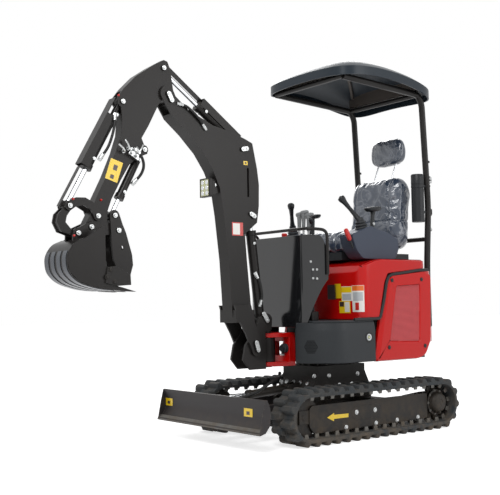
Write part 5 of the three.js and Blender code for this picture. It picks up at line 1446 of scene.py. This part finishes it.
def make_pin_hardware():
    """A zinc bolt and washer on each pin's ends, and long keeper plates where the pins are larger."""
    bolts = {}
    for body, pin, y in (("dipper", "arm_rod", 38), ("dipper", "bucket_base", 36), ("dipper", "rocker", 46),
                         ("dipper", "bucket", 50), ("dipper", "thumb", 48), ("dipper", "thumb_base", 36),
                         ("rocker", "link", 48), ("bucket", "ear", 52), ("thumb", "thumb_rod", 50)):
        for _, hand in SIDES:
            x, z = PINS[pin]
            disc = lathe_mesh([(-0.001, 0), (-0.001, 0.0125), (0.0022, 0.0125), (0.003, 0.0115),
                               (0.003, 0)],
                              at(x, y * hand, z), (0, hand, 0), 32)
            bolts.setdefault(body, []).append(disc)
            bolts[body] += bolt_meshes([at(x, (y + 3) * hand, z)], (0, hand, 0), 0.0075, 0.0055,
                                       washer=False)
    keepers = [("boom", (1107, 1848), (1089, 1815), 52), ("boom", (596, 1606), (622, 1600), 52),
               ("boom", (549, 1231), (571, 1243), 52), ("swing_post", (480, 651), (505, 688), 66),
               ("swing_post", (562, 492), (574, 532), 84)]
    for body, a, b, y in keepers:
        for _, hand in SIDES:
            bolts.setdefault(body, []).append(side_plate(long_hole(a, b, 12.5), y * hand, (y + 4) * hand,
                                                         0.8))
            spots = [at(a[0], (y + 4) * hand, a[1]), at(b[0], (y + 4) * hand, b[1])]
            bolts[body] += bolt_meshes(spots[:1], (0, hand, 0), 0.0075, 0.005, washer=False)
            bolts[body] += bolt_meshes(spots[1:], (0, hand, 0), 0.006, 0.004, washer=False)
    for body, parts in bolts.items():
        piece(f"{body}_pin_bolts", *together(parts), body, ZINC)


# label, base pin, eye pin, tube radius, where the gland sits, and how far out the clamp bolts stand
BARRELS = (("boom", "post", "boom_rod", 27, 505, 30), ("arm", "arm_base", "arm_rod", 26, 367, 34),
           ("bucket", "bucket_base", "link", 25, 403, 34), ("thumb", "thumb_base", "thumb_rod", 21, 292,
                                                            24))


def make_cylinder_details():
    """A gland collar and two pairs of clamp bolts on each barrel."""
    for label, base, eye, tube, gland, side in BARRELS:
        place, _ = along(base, eye)
        way = place(1.0) - place(0.0)
        ring = lathe_mesh([((gland - 8) / 1000, (tube + 3.6) / 1000),
                           ((gland - 8) / 1000, (tube + 4.8) / 1000),
                           ((gland + 1) / 1000, (tube + 4.8) / 1000),
                           ((gland + 1) / 1000, (tube - 8) / 1000)],
                          place(0.0), way, 40)
        piece(f"{label}_gland_ring", *ring, f"{label}_barrel", CHASSIS_PAINT)
        parts = []
        for s in (gland * 0.2, gland * 0.86):
            parts += bolt_meshes([place(s, -4, side), place(s, -4, -side)], (0, 1, 0), 0.006, 0.005)
        piece(f"{label}_clamp_bolts", *together(parts), f"{label}_barrel", ZINC)


def make_hose(name, body, radius, route):
    """A hose along one smooth curve with its two zinc ferrules."""
    path = curve_through(at(*np.array(route, float).T), 36)
    hose = piece(name, *tube_mesh(path, radius, 14), body, HOSE_RUBBER)
    fittings = []
    for tip, inner in ((path[0], path[3]), (path[-1], path[-4])):
        way = inner - tip
        fittings.append(lathe_mesh([(-0.004, 0), (-0.004, radius * 1.5), (0.006, radius * 1.5),
                                    (0.007, radius * 1.28),
                                    (0.022, radius * 1.28), (0.0225, radius * 0.9)], tip, way, 20))
        fittings.append(lathe_mesh([(-0.016, 0), (-0.016, radius * 1.55), (-0.004, radius * 1.55),
                                    (-0.004, 0)],
                                   tip, way, flats=6))
    metal = piece(f"{name}_ends", *together(fittings), body, ZINC)


HOSES = (
    ("bucket_hose", "bucket_barrel", 0.007,
     [(1421, 36, 1692), (1428, 44, 1650), (1444, 47, 1590), (1468, 46, 1530), (1504, 38, 1476)]),
    ("dipper_hose", "dipper", 0.0075,
     [(1306, 56, 1530), (1276, 57, 1489.5), (1267, 54, 1449), (1279, 45, 1408.5), (1312, 32, 1368)]),
    ("arm_hose", "boom", 0.007,
     [(1040, 49, 1800), (1000, 55, 1792), (955, 56, 1764), (914, 54, 1730), (880, 49, 1694)]),
    ("boom_hose", "boom_barrel", 0.007,
     [(528, 32, 905), (512, 40, 870), (500, 40, 826), (496, 40, 784), (502, 34, 744)]),
)
ADAPTERS = ((1310, 1500, 70), (1335, 1514, 66), (1298, 1516, 68), (1322, 1531, 72), (1352, 1536, 60),
            (1378, 1520, 56))  # x, z and how far out the tip stands
ELBOWS = (((1298, 1516), (1268, 1560)), ((1352, 1536), (1372, 1578)), ((1378, 1520), (1408, 1552)))


def make_dipper_fittings():
    """A valve block on the dipper's side with hexagon adapters and elbows standing out of it."""
    block = side_plate(rounded([(1296, 1478), (1352, 1510), (1332, 1545), (1276, 1513)], 4), 30, 52, 1.5)
    piece("valve_block", *block, "dipper", ZINC)
    parts = []
    for x, z, out in ADAPTERS:
        foot = 30 if x > 1345 else 52
        high = (out - foot) / 1000
        parts.append(lathe_mesh([(-0.001, 0), (-0.001, 0.0095), (high * 0.5, 0.0095), (high * 0.5, 0)],
                                at(x, foot, z), (0, 1, 0), flats=6))
        parts.append(lathe_mesh([(0, 0), (0, 0.0065), (high, 0.0065), (high, 0)], at(x, foot, z), (0, 1, 0),
                                18))
    for (x0, z0), (x1, z1) in ELBOWS:
        bend = [(x0, 50, z0), (x0, 58, z0), ((x0 + x1) / 2, 60, (z0 + z1) / 2), (x1, 52, z1)]
        parts.append(tube_mesh(curve_through(at(*np.array(bend).T), 16), 0.0052, 12))
    piece("dipper_fittings", *together(parts), "dipper", ZINC)
    caps = {"dipper": [((1397, 1804), 30), ((1500, 1268), 30)], "rocker": [((1658, 1262), 42)],
            "bucket": [((1694, 1080), 120)]}
    for body, places in caps.items():
        made = [lathe_mesh([(0, 0), (0, 0.0055), (0.006, 0.0055), (0.009, 0.0035), (0.009, 0)],
                           at(x, y, z), (0, 1, 0), 16) for (x, z), y in places]
        piece(f"{body}_grease_caps", *together(made), body, RED_PLASTIC)


def make_arm_stickers():
    """Blank colour panels on the left faces of the boom and the dipper."""
    rows = [("dipper", "dipper", DIPPER_SIDE, [(1441, 1482), (1373, 1462), (1408, 1359), (1476, 1379)],
             YELLOW_PANEL, 0.8),
            ("dipper_mark", "dipper", DIPPER_SIDE, [(1424, 1452), (1402, 1445), (1411, 1418), (1433, 1425)],
             DARK_PANEL, 1.1),
            ("dipper_mark_low", "dipper", DIPPER_SIDE, [(1444, 1402), (1424, 1396), (1430, 1376),
                                                        (1450, 1382)],
             DARK_PANEL, 1.1),
            ("boom_square", "boom", BOOM_SIDE, [(586, 1514), (614, 1514), (614, 1536), (586, 1536)],
             YELLOW_PANEL, 0.8),
            ("boom_square_mark", "boom", BOOM_SIDE, [(594, 1520), (607, 1520), (607, 1530), (594, 1530)],
             DARK_PANEL, 1.1),
            ("boom_red", "boom", BOOM_SIDE, [(625, 1119), (701, 1119), (701, 1192), (625, 1192)], RED_PANEL,
             0.8),
            ("boom_white", "boom", BOOM_SIDE, [(647, 1125), (695, 1125), (695, 1186), (647, 1186)],
             WHITE_PANEL, 1.1)]
    for name, body, y, outline, paint, out in rows:
        piece(f"sticker_{name}", *side_plate(rounded(outline, 2, 3), y - 0.6, y + out, 0.1), body, paint)


def make_work_light():
    """A finned box lamp with a glass front and six cups, held by two cheeks."""
    front, back = 848, 824
    rows = [(back, front, 42, 1324, 1426, 0.003), (814, back, 34, 1336, 1414, 0.001)]
    parts = []
    for x0, x1, y, z0, z1, soft in rows:
        outline = rounded([(-y, z0), (y, z0), (y, z1), (-y, z1)], 6)
        parts.append(plate_mesh(at((x0 + x1) / 2, outline[:, 0], outline[:, 1]), -(x1 - x0) / 2000,
                                (x1 - x0) / 2000, soft))
    for y in np.linspace(-36, 36, 9):
        parts.append(side_plate([(806, 1338), (824, 1338), (824, 1412), (806, 1412)], y - 1.2, y + 1.2,
                                0.3))
    for y0, y1, z0, z1 in ((-42, 42, 1324, 1330), (-42, 42, 1420, 1426), (-42, -37, 1330, 1420),
                           (37, 42, 1330, 1420)):
        parts.append(plate_mesh(at(850, [y0, y1, y1, y0], [z0, z0, z1, z1]), -0.002, 0.002, 0.0006))
    for _, hand in SIDES:
        parts.append(side_plate(rounded([(766, 1350), (830, 1338), (830, 1412), (766, 1441)], 5), 26 * hand,
                                30 * hand))
    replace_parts(piece("lamp_body", *together(parts), "boom", BLACK_PAINT), "work_light")
    glass = rounded([(-37, 1330), (37, 1330), (37, 1420), (-37, 1420)], 3)
    piece("lamp_glass", *plate_mesh(at(848.6, glass[:, 0], glass[:, 1]), -0.0006, 0.0006, 0.0002), "boom",
          LENS)
    cups = [lathe_mesh([(0, 0.0115), (0.0012, 0.0125), (0.0022, 0.0115), (0.0012, 0.0045), (0.0005, 0)],
                       at(849.2, y, z), (1, 0, 0), 24) for y in (-19, 19) for z in (1346, 1375, 1404)]
    piece("lamp_cups", *together(cups), "boom", CHROME)
    bolts = bolt_meshes([at(800, 30 * hand, 1392) for _, hand in SIDES], (0, 1, 0), 0.006, 0.004)
    piece("lamp_bolts", *together(bolts), "boom", ZINC)


def make_bucket_details():
    """A smooth wrapper over the bucket's back, four wear bands round it, and the cutter bolts."""
    corner = [(1640, 1070), (1690, 1046), (1722, 1002), (1729, 960), (1716, 908), (1668, 864),
              (1600, 840), (1535, 828), (1440, 820.5)]
    line = curve_through(at(*np.array([(x, 0, z) for x, z in corner]).T), 60)
    ahead = unit(np.gradient(line, axis=0))
    out = np.stack([-ahead[:, 2], np.zeros(len(ahead)), ahead[:, 0]], 1)
    if out[30] @ (1, 0, 0) < 0:
        out = -out
    layers = (("wrapper", [(-BUCKET_SIDE, BUCKET_SIDE)], -1.5, 0.9, BLACK_PAINT),
              ("wear_bands", [(-110, -72), (-50, -12), (12, 50), (72, 110)], 0.4, 3.4, BAND_PAINT_AND_SHEEN))
    for name, bands, low, high, paint in layers:
        made = []
        kept = slice(0, 60) if name == "wrapper" else slice(12, 56)
        for y0, y1 in bands:
            ring = [line[kept] + out[kept] * d / 1000 + np.array([0, y / 1000, 0])
                    for y, d in ((y0, low), (y1, low), (y1, high), (y0, high))]
            made.append(rings_mesh(np.stack(ring, 1)))
        piece(f"bucket_{name}", *together(made), "bucket", paint, angle=40)
    spots = [(1504, 921), (1521, 885), (1480, 861)]
    bolts = []
    for _, hand in SIDES:
        bolts += bolt_meshes([at(x, (BUCKET_SIDE + 9) * hand, z) for x, z in spots], (0, hand, 0), 0.0095,
                             0.007)
    piece("cutter_bolts", *together(bolts), "bucket", CHASSIS_PAINT)


BOOT_AT, BOOT_RIBS = (300, 60, 492), 5


def make_bracket_boot():
    """A ribbed black boot round the hoses that pass through the swing bracket, in five ribs."""
    profile = [(0, 0), (0, 0.020)]
    for k in range(BOOT_RIBS):
        profile += [(0.004 + 0.014 * k, 0.0265), (0.009 + 0.014 * k, 0.0265), (0.013 + 0.014 * k, 0.019)]
    boot = lathe_mesh(profile + [(0.076, 0.020), (0.076, 0)], at(*BOOT_AT), (1, 0, 0), 28)
    piece("bracket_boot", *boot, "upper_body", RUBBER_BOOT, angle=50)


# The bands' grey carries a blue cast: partly their own paint, partly a painted reflection of the sky's
# sheen on them.
BAND_PAINT_AND_SHEEN = finish("band_paint_and_sky_sheen", "4a4e55", 0.28, metal=0.3, specular=0.4, grain=(500, 0.6, 0.05),
                    mottle=(9, 0.3))
make_rods()
make_pin_hardware()
make_cylinder_details()
for hose in HOSES:
    make_hose(*hose)
make_dipper_fittings()
make_arm_stickers()
make_work_light()
make_bucket_details()
make_bracket_boot()
